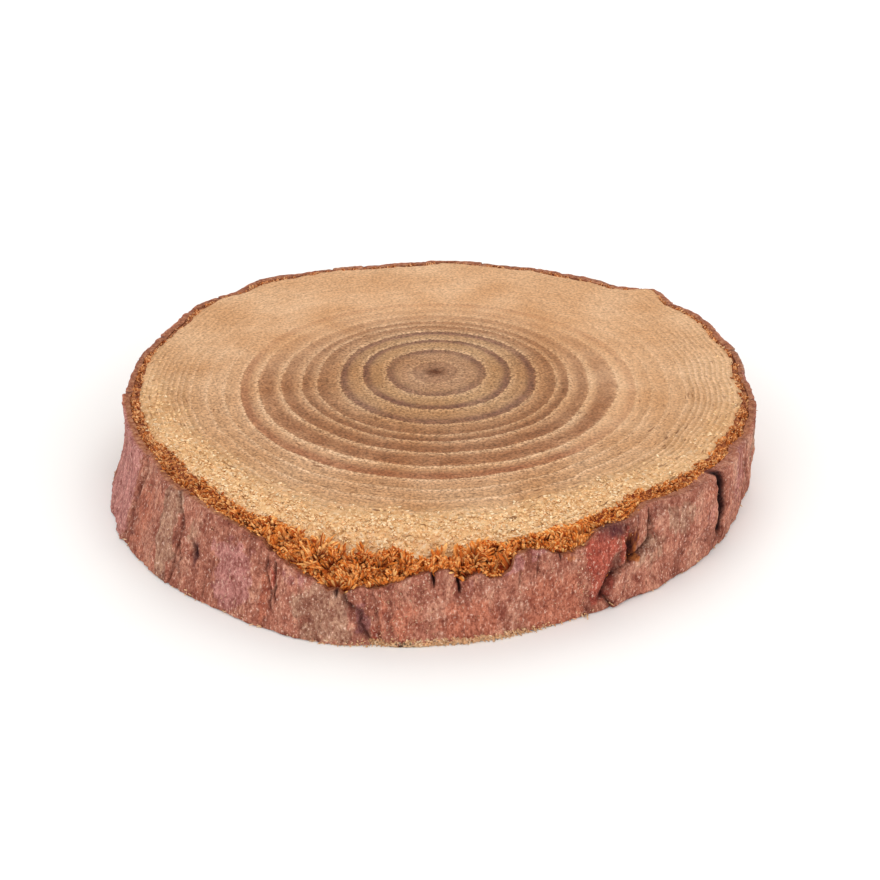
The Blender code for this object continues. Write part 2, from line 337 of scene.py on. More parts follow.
def measured_wall():
    """Radius of the frame's solid at both wall levels, step by step round it, with its grooves eased out."""
    tree = BVHTree.FromObject(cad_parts[NODE], bpy.context.evaluated_depsgraph_get())
    reach = 2 * (HIGH.x - LOW.x)
    weights = np.exp(-0.5 * (np.arange(-SMOOTHING, SMOOTHING + 1) / (SMOOTHING / 3)) ** 2)
    weights /= weights.sum()
    rows = []
    for level in WALL_LEVELS:
        row = []
        for turn in np.radians(WALL_PLACES):
            out = Vector((math.cos(turn), math.sin(turn), 0.0))
            start = Vector((CENTRE.x, CENTRE.y, level)) + out * reach
            row.append(reach - tree.ray_cast(start, -out)[3])
        rows.append(np.convolve(row[-SMOOTHING:] + row + row[:SMOOTHING], weights, mode="valid"))
    return rows


WALL = measured_wall()


def around(table, direction, unit=MM, column=1):
    """A column's value at each direction, in metres by default. The table's rows start with a direction."""
    return np.interp(direction, [row[0] for row in table], [row[column] * unit for row in table], period=360)


def turned(direction, way):
    """Degrees from a way to each direction, from -180 to 180."""
    return (direction - way + 180) % 360 - 180


def wall_radius(direction, z):
    """Radius of the bark before its relief."""
    foot, middle = (np.interp(direction, WALL_PLACES, row, period=360) for row in WALL)
    height = (z - LOW.z) / THICKNESS
    at_foot, halfway, at_rim = (around(WALL_TRIM, direction, column=column) for column in (1, 2, 3))
    trim = at_foot * (1 - height) * (1 - 2 * height) + halfway * 4 * height * (1 - height)
    trim += at_rim * height * (2 * height - 1)
    low, high = WALL_LEVELS
    return foot + (middle - foot) * (z - low) / (high - low) + trim - WALL_INSET


def ease(value, start, end):
    """0 before start, 1 after end, and smooth between them."""
    share = np.clip((value - start) / (end - start), 0.0, 1.0)
    return share * share * (3 - 2 * share)


def polar(points):
    """Direction in degrees and distance from the slice's axis of each point."""
    x, y = points[:, 0] - CENTRE.x, points[:, 1] - CENTRE.y
    return np.degrees(np.arctan2(y, x)), np.hypot(x, y)


def placed(direction, radius, z):
    """Points at directions, distances from the axis and heights."""
    turn = np.radians(direction)
    return np.column_stack((CENTRE.x + radius * np.cos(turn), CENTRE.y + radius * np.sin(turn), z))


def lumps(points, size, seed):
    """Smooth noise from -1 to 1 whose lumps have a size in millimetres: one size, or one for each axis."""
    spread = np.asarray(points) / (np.asarray(size) * MM) + 31.7 * seed
    return np.fromiter((noise.noise(point) for point in spread.tolist()), float, len(spread))


def wood_edge(direction, z):
    """Radius of the wood's edge; the belt outside it is a little narrower on the lower face."""
    height = (z - LOW.z) / THICKNESS
    return wall_radius(direction, z) - around(RIM_WIDTH, direction) * (0.8 + 0.2 * height)


def bark_swelling(direction):
    """1 where the bark is thickest and its rim kept its colour best, and 0 elsewhere."""
    return np.exp(-(turned(direction, SWELLING_MIDDLE) / SWELLING_SPREAD) ** 2)


def bark_width(direction):
    """Width of the bark on the upper face."""
    width = sizes().bark_width * (1 + 1.3 * bark_swelling(direction))
    return np.minimum(width, 0.62 * around(RIM_WIDTH, direction))


def bark_top(direction):
    """Height of the bark's chipped upper edge."""
    return HIGH.z - around(BARK_CHIP, direction)


def from_ring_middle(points, radius):
    """Way to each point, as x and y, from the middle of a ring of a radius: rings shift as they grow."""
    shift = np.minimum(1.0, (radius / SHIFT_RADIUS) ** SHIFT_POWER)
    return points[:, 0] - PITH[0] - shift * PITH_SHIFT[0], points[:, 1] - PITH[1] - shift * PITH_SHIFT[1]


def ring_radius(points):
    """Radius of the growth ring through each point. The last rings follow the outline."""
    direction, distance = polar(points)
    radius = np.hypot(points[:, 0] - PITH[0], points[:, 1] - PITH[1])
    for _ in range(SHIFT_ROUNDS):
        x, y = from_ring_middle(points, radius)
        radius = np.hypot(x, y)
    ring_direction = np.degrees(np.arctan2(y, x))
    widening = np.zeros(len(radius))
    for column in range(1, len(WIDENED_RADII)):
        share = np.interp(radius / MM, WIDENED_RADII, np.arange(len(WIDENED_RADII)) == column)
        widening += share * around(RING_WIDENING, ring_direction, column=column + 1)
    radius -= widening
    share = distance / wood_edge(direction, points[:, 2])
    near_edge = ease(share, OUTLINE_START, 1.0)
    return radius * (1 - near_edge) + share * WOOD_RADIUS * near_edge


def ring_age(points):
    """Age of the wood in years at each point, with the rings' slight waviness."""
    radius = ring_radius(points)
    radius += 0.09 * MM * lumps(points, 2.6, 1) * ease(radius, 0.0, 4 * MM)
    return np.interp(radius, np.array(RING_RADII) * MM, range(len(RING_RADII)))


def torn_share(points):
    """How torn the sawn face is: 0 where the saw left it smooth, 1 in the fuzzy zone near the front edge."""
    direction, _ = polar(points)
    start = around(TORN_ZONE, direction)
    most = around(TORN_ZONE, direction, 1, column=2)
    ragged = 0.55 * MM * lumps(points, 1.6, 2) + 0.35 * MM * lumps(points, 0.5, 12)
    return np.clip(ease(ring_radius(points) + ragged, start, start + 2.6 * MM) * most, 0.0, 1.0)


def bleaching(points, column):
    """Share that light gave a column of its table, and its fading towards the pith, at each point."""
    radius = ring_radius(points)
    x, y = from_ring_middle(points, radius)
    direction = np.degrees(np.arctan2(y, x))
    share = around(BLEACHING, direction, 1, column) + 0.12 * lumps(points, 2.2, 14)
    return share, ease(radius, 4.8 * MM, 9.0 * MM), direction


def bleached_share(points):
    """How bleached the wood is: 0 round the pith and at the front, 1 at the back."""
    share, outer, _ = bleaching(points, 1)
    return np.clip(share, 0.0, 1.0) * outer


def hidden_share(points):
    """How far bleaching hides the rings. It also hides most of the ninth year's ring on the right."""
    share, outer, direction = bleaching(points, 2)
    rightward = ease(direction, -52, -34) * (1 - ease(direction, 30, 60))
    age = ring_age(points)
    share = np.maximum(share, 0.85 * rightward * ease(age, 7.96, 8.04) * (1 - ease(age, 9.0, 9.1)))
    return np.clip(share, 0.0, 1.0) * outer


def upper_face(points):
    """Height of the sawn upper face, with its ring lines, its torn zone and its broken front edge."""
    direction, distance = polar(points)
    age = ring_age(points)
    torn = torn_share(points)
    into_ring = age % 1.0
    line = np.exp(-((into_ring - 0.08) / 0.12) ** 2) * ease(age, 2.0, 4.0) * (1 - ease(age, 12.0, 13.0))
    rings = line - 0.35 * ease(into_ring, 0.4, 0.9)
    z = HIGH.z - FACE_DEPTH + sizes().ring_relief * rings * (1 - 0.8 * hidden_share(points))
    z += sizes().torn_relief * torn * (lumps(points, 0.40, 3) - 0.5)
    z += 0.014 * MM * lumps(points, 0.45, 4) + 0.02 * MM * lumps(points, 3.5, 5)
    edge = wood_edge(direction, np.full(len(points), HIGH.z))
    broken = ease(distance, edge - DROP_REACH, edge)
    z -= around(WOOD_DROP, direction) * broken * (1 + 0.35 * lumps(points, 0.8, 6))
    z -= 0.06 * MM * ease(distance, edge - 0.35 * MM, edge)
    return np.minimum(z, HIGH.z - 0.02 * MM)


# Building pieces

def set_points(mesh, points):
    """Move a mesh's vertices to points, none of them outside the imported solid's box."""
    points = np.clip(points, np.array(LOW) + BOX_MARGIN, np.array(HIGH) - BOX_MARGIN)
    mesh.vertices.foreach_set("co", np.asarray(points, np.float32).ravel())
    mesh.update()


def get_points(mesh):
    """Vertices of a mesh as rows of x, y and z."""
    points = np.empty(len(mesh.vertices) * 3, np.float32)
    mesh.vertices.foreach_get("co", points)
    return points.reshape(-1, 3).astype(float)


def set_value(mesh, name, values):
    """Store a number at each vertex, for the material to read."""
    mesh.attributes.new(name, "FLOAT", "POINT").data.foreach_set("value", np.asarray(values, np.float32))


def new_mesh(name, bm):
    """Mesh of a finished bmesh, which is freed."""
    mesh = bpy.data.meshes.new(name)
    bm.to_mesh(mesh)
    bm.free()
    return mesh


def finish_piece(name, mesh, material):
    """Make an object of a finished mesh: faces outwards, shading, material, and its place in the frame."""
    bm = bmesh.new()
    bm.from_mesh(mesh)
    bmesh.ops.recalc_face_normals(bm, faces=bm.faces)
    bm.to_mesh(mesh)
    bm.free()
    mesh.shade_smooth()
    mesh.set_sharp_from_angle(angle=math.radians(70))
    mesh.materials.append(material)
    piece = bpy.data.objects.new(name, mesh)
    bpy.context.scene.collection.objects.link(piece)
    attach(piece, BODY)
    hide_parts(NODE)


def torus_mesh(name, rows, steps):
    """Closed ring round the Z axis, as a blank for a piece with a closed section: a grid rolled both ways."""
    bm = bmesh.new()
    bmesh.ops.create_grid(bm, x_segments=rows, y_segments=steps, size=math.pi)
    for vert in bm.verts:
        section, direction = vert.co.x, vert.co.y
        radius = 1.0 + 0.3 * math.cos(section)
        vert.co = (radius * math.cos(direction), radius * math.sin(direction), 0.3 * math.sin(section))
    bmesh.ops.remove_doubles(bm, verts=bm.verts, dist=1e-5)
    return new_mesh(name, bm)


def torus_place(mesh):
    """Direction of each vertex of a blank ring, and its way round the section from 0 to 1."""
    points = get_points(mesh)
    direction = np.degrees(np.arctan2(points[:, 1], points[:, 0]))
    section = np.arctan2(points[:, 2], np.hypot(points[:, 0], points[:, 1]) - 1.0)
    return direction, (section / (2 * math.pi)) % 1.0


def strand_mesh(name, shape, roots, ways, curls, lengths, radii):
    """Fibres or crumbs of one shape, which is (share of length, share of radius) pairs. Each is a four-sided
    rod that runs from its root along its way and bends by its curl; "tip" tells how far along a vertex is."""
    count = len(roots)
    bm = bmesh.new()
    bmesh.ops.create_cone(bm, cap_ends=True, segments=4, radius1=1.0, radius2=1.0, depth=1.0,
                          matrix=Matrix.Translation((0.0, 0.0, 0.5)))
    upright = [edge for edge in bm.edges if abs(edge.verts[0].co.z - edge.verts[1].co.z) > 0.5]
    bmesh.ops.subdivide_edges(bm, edges=upright, cuts=len(shape) - 2)
    size = len(bm.verts)
    while len(bm.verts) < count * size:
        bmesh.ops.duplicate(bm, geom=bm.verts[:] + bm.edges[:] + bm.faces[:])
    bmesh.ops.delete(bm, geom=bm.verts[count * size:], context="VERTS")
    mesh = new_mesh(name, bm)
    rod = get_points(mesh)[:size]
    levels = np.linspace(0.0, 1.0, len(shape))
    share, thickness = (np.interp(rod[:, 2], levels, column)[None, :, None] for column in np.array(shape).T)
    helper = np.where(np.abs(ways[:, 2:]) > 0.8, (1.0, 0.0, 0.0), (0.0, 0.0, 1.0))
    across = unit(np.cross(ways, helper))
    corner = rod[None, :, :1] * across[:, None] + rod[None, :, 1:2] * np.cross(ways, across)[:, None]
    points = roots[:, None] + lengths[:, None, None] * (share * ways[:, None] + share ** 2 * curls[:, None])
    points = (points + radii[:, None, None] * thickness * corner).reshape(-1, 3)
    roof = HIGH.z - 0.01 * MM
    room = 0.12 * MM    # tips that reach into it are pressed together, so that none is cut flat
    too_high = np.maximum(points[:, 2] - (roof - room), 0.0)
    points[:, 2] = np.minimum(points[:, 2], roof - room) + room * (1 - np.exp(-too_high / room))
    points[:, 2] = np.maximum(points[:, 2], LOW.z + 0.01 * MM)
    set_points(mesh, points)
    set_value(mesh, "tip", np.tile(share.ravel(), count))
    return mesh


def unit(vectors):
    """Vectors scaled to length 1."""
    return vectors / np.linalg.norm(vectors, axis=1, keepdims=True)


# Materials

BLEND = {"data_type": "RGBA"}
MULTIPLY = {"data_type": "RGBA", "blend_type": "MULTIPLY"}

# Sizes of the surfaces' patterns in millimetres
TORN_LAYER = 0.13        # a layer of torn cells along the rings
WOOD_GRAIN = 0.15        # cells, drawn coarser than they are
WOOD_CLUMP = 0.32        # sawdust pressed into the face, and torn granules
WOOD_PATCH = 1.6         # where the bands are weaker or stronger
WOOD_STAIN = 4.5
BARK_GRIT = 0.12         # cork cells, drawn coarser than they are
BARK_STREAK = 0.22
BARK_PIT = 0.27
BARK_FRAY = 0.4          # how ragged the edges of its patches are
BARK_BLOTCH = 0.75
BARK_SCALE = 0.9
FIBRE_END = 0.17
FIBRE_MOTTLE = 0.15


def rgba(value):
    """Four channels of a grey number, a colour or an sRGB hex code."""
    if isinstance(value, str):
        value = linear(value)
    return (value, value, value, 1.0) if isinstance(value, float) else (*value, 1.0)


def by_year(*stops):
    """Stops of a ramp, with their places given in years of growth."""
    return [(year / YEARS, value) for year, value in stops]


def add(tree, kind, inputs=None, stops=None, output=None, **settings):
    """Add one node with its settings, its sockets' values or links and a ramp's stops. Returns an output."""
    made = tree.nodes.new(kind)
    for name, value in settings.items():
        setattr(made, name, value)
    for name, value in (inputs or {}).items():
        socket = made.inputs[name]
        if isinstance(value, bpy.types.NodeSocket):
            tree.links.new(value, socket)
        else:
            socket.default_value = rgba(value) if socket.type == "RGBA" else value
    for number, (place, value) in enumerate(stops or ()):
        ramp = made.color_ramp.elements
        stop = ramp[number] if number < 2 else ramp.new(place)
        stop.position = place
        stop.color = rgba(value)
    return made.outputs[output] if output else next(socket for socket in made.outputs if socket.enabled)


def new_material(name, roughness, specular):
    """Material with an empty node tree, its Principled shader, and a vector in millimetres on the object."""
    material = bpy.data.materials.new(name)
    material.use_nodes = True
    tree = material.node_tree
    tree.nodes.clear()
    surface = add(tree, "ShaderNodeBsdfPrincipled", {"Roughness": roughness, "Specular IOR Level": specular,
                                                     "IOR": 1.45})
    tree.links.new(surface, tree.nodes.new("ShaderNodeOutputMaterial").inputs["Surface"])
    place = add(tree, "ShaderNodeTexCoord", output="Object")
    in_mm = add(tree, "ShaderNodeMapping", {"Vector": place, "Scale": (1 / MM,) * 3})
    return material, tree, surface.node, in_mm


def sawn_end_grain():
    """Softwood end grain, cut with a coarse saw and not sanded: dull and grainy, with the growth rings as
    brown bands, pale fuzzy lines where each year starts, and a torn zone of cream shreds near the edge, with
    painted highlights on them and painted shade between them and in the pits. Single cells, a few hundredths
    of a millimetre wide, are too fine to show, and are drawn as coarser grains."""
    material, tree, shader, in_mm = new_material("sawn_end_grain", 0.9, 0.2)
    paint = colours()
    pith_x, pith_y = (PITH / MM).tolist()

    age, torn, bleached, hidden, radius = (
        add(tree, "ShaderNodeAttribute", output="Fac", attribute_name=name)
        for name in ("ring_age", "torn", "bleached", "hidden", "ring_mm"))
    from_pith = add(tree, "ShaderNodeMapping", {"Vector": in_mm, "Location": (-pith_x, -pith_y, 0.0),
                                                "Scale": (1.0, 1.0, 0.0)})
    outward = add(tree, "ShaderNodeVectorMath", {0: from_pith}, operation="NORMALIZE")
    layer = add(tree, "ShaderNodeMath", {0: radius, 1: 1 / TORN_LAYER}, operation="MULTIPLY")
    layers = add(tree, "ShaderNodeCombineXYZ", {"Z": layer})
    along_rings = add(tree, "ShaderNodeVectorMath", {0: outward, 1: (24.0, 24.0, 24.0), 2: layers},
                      operation="MULTIPLY_ADD")
    shreds = add(tree, "ShaderNodeTexNoise", {"Vector": along_rings, "Scale": 1.0, "Detail": 3.0,
                                              "Roughness": 0.65})
    grains = add(tree, "ShaderNodeTexNoise", {"Vector": in_mm, "Scale": 1 / WOOD_GRAIN, "Detail": 2.0,
                                              "Roughness": 0.6})
    clumps = add(tree, "ShaderNodeTexNoise", {"Vector": in_mm, "Scale": 1 / WOOD_CLUMP, "Detail": 2.5,
                                              "Roughness": 0.6, "Distortion": 0.5})
    patches = add(tree, "ShaderNodeTexNoise", {"Vector": in_mm, "Scale": 1 / WOOD_PATCH, "Detail": 3.0})
    stains = add(tree, "ShaderNodeTexNoise", {"Vector": in_mm, "Scale": 1 / WOOD_STAIN, "Detail": 3.0})

    wavy = add(tree, "ShaderNodeMath", {0: clumps, 1: 0.17, 2: age}, operation="MULTIPLY_ADD")
    ragged = add(tree, "ShaderNodeMath", {0: grains, 1: 0.15, 2: wavy}, operation="MULTIPLY_ADD")
    year = add(tree, "ShaderNodeMath", {0: ragged, 1: 0.16}, operation="SUBTRACT")
    into_ring = add(tree, "ShaderNodeMath", {0: year}, operation="FRACT")
    old = add(tree, "ShaderNodeMath", {0: year, 1: YEARS}, operation="DIVIDE")
    showing = add(tree, "ShaderNodeMath", {0: hidden, 1: -0.80, 2: 1.0}, operation="MULTIPLY_ADD")
    early = add(tree, "ShaderNodeValToRGB", {"Fac": old}, stops=by_year(
        (0.9, 1.0), (YEARS, 1.0), (1.1, 1.5), (4.0, 1.35), (5.0, 0.75), (6.95, 0.70), (7.05, 0.50),
        (7.95, 0.50), (8.05, 0.80)))
    grown = add(tree, "ShaderNodeMath", {0: into_ring, 1: early}, operation="POWER")

    base = add(tree, "ShaderNodeValToRGB", {"Fac": old}, stops=by_year(
        (0.0, "#B38A6F"), (YEARS, "#D4A77C"), (1.4, "#BD9473"), (2.2, "#BF976F"), (3.3, "#BD946D"),
        (4.3, "#B78B67"), (6.2, "#B48561"), (7.2, paint.heartwood), (8.1, "#C99A73"), (8.6, "#BF906A"),
        (8.95, "#C69670"), (9.2, "#CA9D77"), (10.0, paint.sapwood), (12.5, "#D2A57C")))
    late_colour = add(tree, "ShaderNodeValToRGB", {"Fac": old}, stops=by_year(
        (0.0, "#9C765E"), (YEARS, "#B48B61"), (1.9, "#8F6955"), (2.8, paint.dark_rings), (3.9, "#8B6451"),
        (4.3, "#9A6D4E"), (5.9, "#936648"), (7.8, "#9A6746"), (8.2, "#A06949"), (8.9, "#A36A4A"),
        (9.2, "#B6885F"), (12.5, "#B48B61")))
    late_share = add(tree, "ShaderNodeValToRGB", {"Fac": old}, stops=by_year(
        (0.0, 0.0), (YEARS, 0.80), (0.6, 0.0), (0.85, 0.35), (1.1, 0.35), (1.4, 0.75), (2.0, 1.0), (3.9, 1.0),
        (4.1, 0.60), (5.5, 0.95), (7.9, 0.95), (8.95, 1.0), (9.1, 0.34), (12.0, 0.34), (12.6, 0.80)))
    late = add(tree, "ShaderNodeValToRGB", {"Fac": grown}, stops=(
        (0.0, 0.0), (1.0, 0.10), (0.36, 0.06), (0.50, 0.30), (0.60, 0.75), (0.70, 1.0), (0.90, 1.0),
        (0.96, 0.70)))
    uneven = add(tree, "ShaderNodeValToRGB", {"Fac": patches}, stops=((0.32, 0.62), (0.62, 1.0)))
    for share in (late_share, uneven, showing):
        late = add(tree, "ShaderNodeMath", {0: late, 1: share}, operation="MULTIPLY")
    base = add(tree, "ShaderNodeMix", {0: bleached, 6: base, 7: paint.bleached}, **BLEND)
    colour = add(tree, "ShaderNodeMix", {0: late, 6: base, 7: late_colour}, **BLEND)

    line = add(tree, "ShaderNodeValToRGB", {"Fac": into_ring}, stops=(
        (0.0, 1.0), (1.0, 0.9), (0.12, 1.0), (0.20, 0.30), (0.32, 0.0), (0.96, 0.0)))
    line_share = add(tree, "ShaderNodeValToRGB", {"Fac": old}, stops=by_year(
        (0.9, 0.0), (YEARS, 0.50), (1.1, 0.35), (2.0, 0.40), (4.9, 0.50), (5.9, 0.55), (6.9, 0.65),
        (7.8, 0.85), (8.9, 0.90), (9.3, 0.75), (12.0, 0.75)))
    crumbly = add(tree, "ShaderNodeValToRGB", {"Fac": grains}, stops=((0.38, 0.25), (0.58, 1.0)))
    for share in (line_share, crumbly, showing):
        line = add(tree, "ShaderNodeMath", {0: line, 1: share}, operation="MULTIPLY")
    colour = add(tree, "ShaderNodeMix", {0: line, 6: colour, 7: paint.pale_lines}, **BLEND)

    distance = add(tree, "ShaderNodeVectorMath", {0: from_pith}, operation="LENGTH", output="Value")
    distance = add(tree, "ShaderNodeMath", {0: clumps, 1: 0.55, 2: distance}, operation="MULTIPLY_ADD")
    pith = add(tree, "ShaderNodeValToRGB", {"Fac": distance}, stops=(
        (0.38, 0.95), (1.15, 0.0), (0.58, 0.64), (0.78, 0.36), (0.97, 0.12)))
    colour = add(tree, "ShaderNodeMix", {0: pith, 6: colour, 7: "#6F412A"}, **BLEND)

    stain = add(tree, "ShaderNodeValToRGB", {"Fac": stains}, stops=((0.35, "#EBDAC6"), (0.65, "#FFFFFF")))
    colour = add(tree, "ShaderNodeMix", {0: 0.9, 6: colour, 7: stain}, **MULTIPLY)
    shade = add(tree, "ShaderNodeValToRGB", {"Fac": shreds}, stops=((0.28, 0.76), (0.72, 1.14)))
    colour = add(tree, "ShaderNodeMix", {0: showing, 6: colour, 7: shade}, **MULTIPLY)
    shade = add(tree, "ShaderNodeValToRGB", {"Fac": grains}, stops=((0.28, 0.50), (0.74, 1.45), (0.5, 0.97)))
    contrast = add(tree, "ShaderNodeMath", {0: bleached, 1: -0.36, 2: 1.0}, operation="MULTIPLY_ADD")
    colour = add(tree, "ShaderNodeMix", {0: contrast, 6: colour, 7: shade}, **MULTIPLY)

    # Torn zone: cream shreds, with painted shade between the clumps and a painted highlight on the highest
    torn_colour = add(tree, "ShaderNodeValToRGB", {"Fac": clumps}, stops=(
        (0.28, "#7A4E2A"), (0.70, (1.02, 0.82, 0.56)), (0.37, "#C8935A"), (0.45, "#EEBD84"),
        (0.57, paint.fuzz)))
    torn_mask = add(tree, "ShaderNodeMath", {0: torn, 1: 0.80}, operation="MULTIPLY")
    colour = add(tree, "ShaderNodeMix", {0: torn_mask, 6: colour, 7: torn_colour}, **BLEND)
    # Dark pits along the rings: painted shade in the torn-out hollows
    pits = add(tree, "ShaderNodeTexNoise", {"Vector": along_rings, "Scale": 0.75, "Detail": 1.0})
    pits = add(tree, "ShaderNodeMath", {0: torn, 1: -0.05, 2: pits}, operation="MULTIPLY_ADD")
    pit_shade = add(tree, "ShaderNodeValToRGB", {"Fac": pits}, stops=((0.25, 0.75), (0.34, 0.0)))
    pit_shade = add(tree, "ShaderNodeMath", {0: pit_shade, 1: showing}, operation="MULTIPLY")
    colour = add(tree, "ShaderNodeMix", {0: pit_shade, 6: colour, 7: "#754A2C"}, **BLEND)
    tree.links.new(colour, shader.inputs["Base Color"])

    height = add(tree, "ShaderNodeMath", {0: grains, 1: shreds}, operation="ADD")
    height = add(tree, "ShaderNodeMath", {0: line, 1: 0.4, 2: height}, operation="MULTIPLY_ADD")
    rough = add(tree, "ShaderNodeMath", {0: torn, 1: clumps}, operation="MULTIPLY")
    height = add(tree, "ShaderNodeMath", {0: rough, 1: 2.4, 2: height}, operation="MULTIPLY_ADD")
    bump = add(tree, "ShaderNodeBump", {"Height": height, "Strength": 0.7, "Distance": 0.09 * MM})
    tree.links.new(bump, shader.inputs["Normal"])
    return material


def flaking_bark():
    """Dry conifer bark with its outer scales rubbed off: matt, grained up and down and finely pitted, in
    patches of mauve, salmon and grey-tan, with painted highlights on the high spots and painted shade in the
    pits, gaps and cracks.
    Its single cells are too fine to show, and are drawn as coarser grit."""
    material, tree, shader, in_mm = new_material("flaking_bark", 0.85, 0.3)
    paint = colours()
    tones = {tone: add(tree, "ShaderNodeAttribute", output="Fac", attribute_name=tone)
             for tone in (*TONES, "rim", "crack_shade", "relief")}
    upright = add(tree, "ShaderNodeMapping", {"Vector": in_mm, "Scale": (1.0, 1.0, 0.33)})
    streaks = add(tree, "ShaderNodeTexNoise", {"Vector": upright, "Scale": 1 / BARK_STREAK, "Detail": 3.0,
                                               "Roughness": 0.6})
    broad = add(tree, "ShaderNodeTexNoise", {"Vector": upright, "Scale": 1 / BARK_SCALE, "Detail": 4.0,
                                             "Roughness": 0.62})
    short = add(tree, "ShaderNodeMapping", {"Vector": in_mm, "Scale": (1.0, 1.0, 0.6)})
    speckle = add(tree, "ShaderNodeTexNoise", {"Vector": short, "Scale": 1 / BARK_GRIT, "Detail": 2.0,
                                               "Roughness": 0.7})
    pits = add(tree, "ShaderNodeTexNoise", {"Vector": in_mm, "Scale": 1 / BARK_PIT, "Detail": 3.0,
                                            "Roughness": 0.65})
    blotches = add(tree, "ShaderNodeTexNoise", {"Vector": in_mm, "Scale": 1 / BARK_BLOTCH, "Detail": 4.0,
                                                "Roughness": 0.65, "Distortion": 0.6})
    ragged = add(tree, "ShaderNodeTexNoise", {"Vector": upright, "Scale": 1 / BARK_FRAY, "Detail": 4.0,
                                              "Roughness": 0.7})
    ragged = add(tree, "ShaderNodeMath", {0: ragged, 1: 0.5}, operation="SUBTRACT")

    colour = add(tree, "ShaderNodeValToRGB", {"Fac": broad}, stops=(
        (0.32, "#9C6654"), (0.70, "#D8AC94"), (0.50, paint.bark)))
    for tone, patch in (("salmon", paint.salmon), ("mauve", paint.mauve), ("grey", paint.grey_bark),
                        ("red", paint.red_bark)):
        mask = add(tree, "ShaderNodeMath", {0: tones[tone], 1: ragged}, operation="ADD")
        mask = add(tree, "ShaderNodeValToRGB", {"Fac": mask}, stops=((0.38, 0.0), (0.54, 0.88)))
        colour = add(tree, "ShaderNodeMix", {0: mask, 6: colour, 7: patch}, **BLEND)
    for pattern, low, dark_shade, high, light, plain in (
            (blotches, 0.32, "#C29F99", 0.68, (1.15, 1.12, 1.10), "#F8F1EF"),
            (streaks, 0.28, "#CBB0AA", 0.72, (1.12, 1.10, 1.08), "#FAF4F2"),
            (speckle, 0.34, "#DCC4BC", 0.66, (1.17, 1.11, 1.08), "#FFF8F6")):
        shade = add(tree, "ShaderNodeValToRGB", {"Fac": pattern}, stops=(
            (low, dark_shade), (high, light), (0.5, plain)))
        colour = add(tree, "ShaderNodeMix", {0: 1.0, 6: colour, 7: shade}, **MULTIPLY)
    # Dark pits and specks where the bump dips are painted shade, and pale specks where it rises are painted
    # highlights
    for pattern, stops, code in (
            (pits, ((0.28, 0.75), (0.39, 0.0)), "#743E34"),
            (speckle, ((0.59, 0.0), (0.70, 0.80)), "#F2CCB8"),
            (speckle, ((0.26, 0.70), (0.40, 0.0)), "#7A4336")):
        mask = add(tree, "ShaderNodeValToRGB", {"Fac": pattern}, stops=stops)
        colour = add(tree, "ShaderNodeMix", {0: mask, 6: colour, 7: code}, **BLEND)
    # Orange inner bark in a hollow: fibres, with painted shade in the gaps between them
    fibres = add(tree, "ShaderNodeValToRGB", {"Fac": streaks}, stops=(
        (0.35, paint.fibre_gap_shade), (0.65, paint.fibre)))
    mask = add(tree, "ShaderNodeMath", {0: tones["orange"], 1: ragged}, operation="ADD")
    mask = add(tree, "ShaderNodeValToRGB", {"Fac": mask}, stops=((0.35, 0.0), (0.6, 0.9)))
    colour = add(tree, "ShaderNodeMix", {0: mask, 6: colour, 7: fibres}, **BLEND)
    rim = add(tree, "ShaderNodeValToRGB", {"Fac": pits}, stops=(
        (0.32, "#7A412B"), (0.70, "#C88F6C"), (0.50, "#A56747")))
    colour = add(tree, "ShaderNodeMix", {0: tones["rim"], 6: colour, 7: rim}, **BLEND)
    # Painted shade in the hollows and gaps that the dark patches mark, with ragged edges
    dark_shade = add(tree, "ShaderNodeMath", {0: ragged, 1: 2.2, 2: 0.9}, operation="MULTIPLY_ADD")
    dark_shade = add(tree, "ShaderNodeMath", {0: dark_shade, 1: tones["dark_shade"]}, operation="MULTIPLY", use_clamp=True)
    colour = add(tree, "ShaderNodeMix", {0: dark_shade, 6: colour, 7: "#4B2026"}, **BLEND)
    # Painted shade in the bark's cracks and in the gaps beside its plates
    colour = add(tree, "ShaderNodeMix", {0: tones["crack_shade"], 6: colour, 7: "#3A0C06"}, **BLEND)
    # Painted shade where the bark's relief dips, and painted highlight where it rises
    shade = add(tree, "ShaderNodeValToRGB", {"Fac": tones["relief"]}, stops=(
        (0.10, "#A8857F"), (0.85, (1.10, 1.08, 1.07)), (0.5, "#F8F3F1")))
    colour = add(tree, "ShaderNodeMix", {0: 1.0, 6: colour, 7: shade}, **MULTIPLY)
    tree.links.new(colour, shader.inputs["Base Color"])

    height = add(tree, "ShaderNodeMath", {0: streaks, 1: 1.3, 2: speckle}, operation="MULTIPLY_ADD")
    height = add(tree, "ShaderNodeMath", {0: pits, 1: 1.6, 2: height}, operation="MULTIPLY_ADD")
    bump = add(tree, "ShaderNodeBump", {"Height": height, "Strength": 1.0, "Distance": 0.14 * MM})
    tree.links.new(bump, shader.inputs["Normal"])
    return material


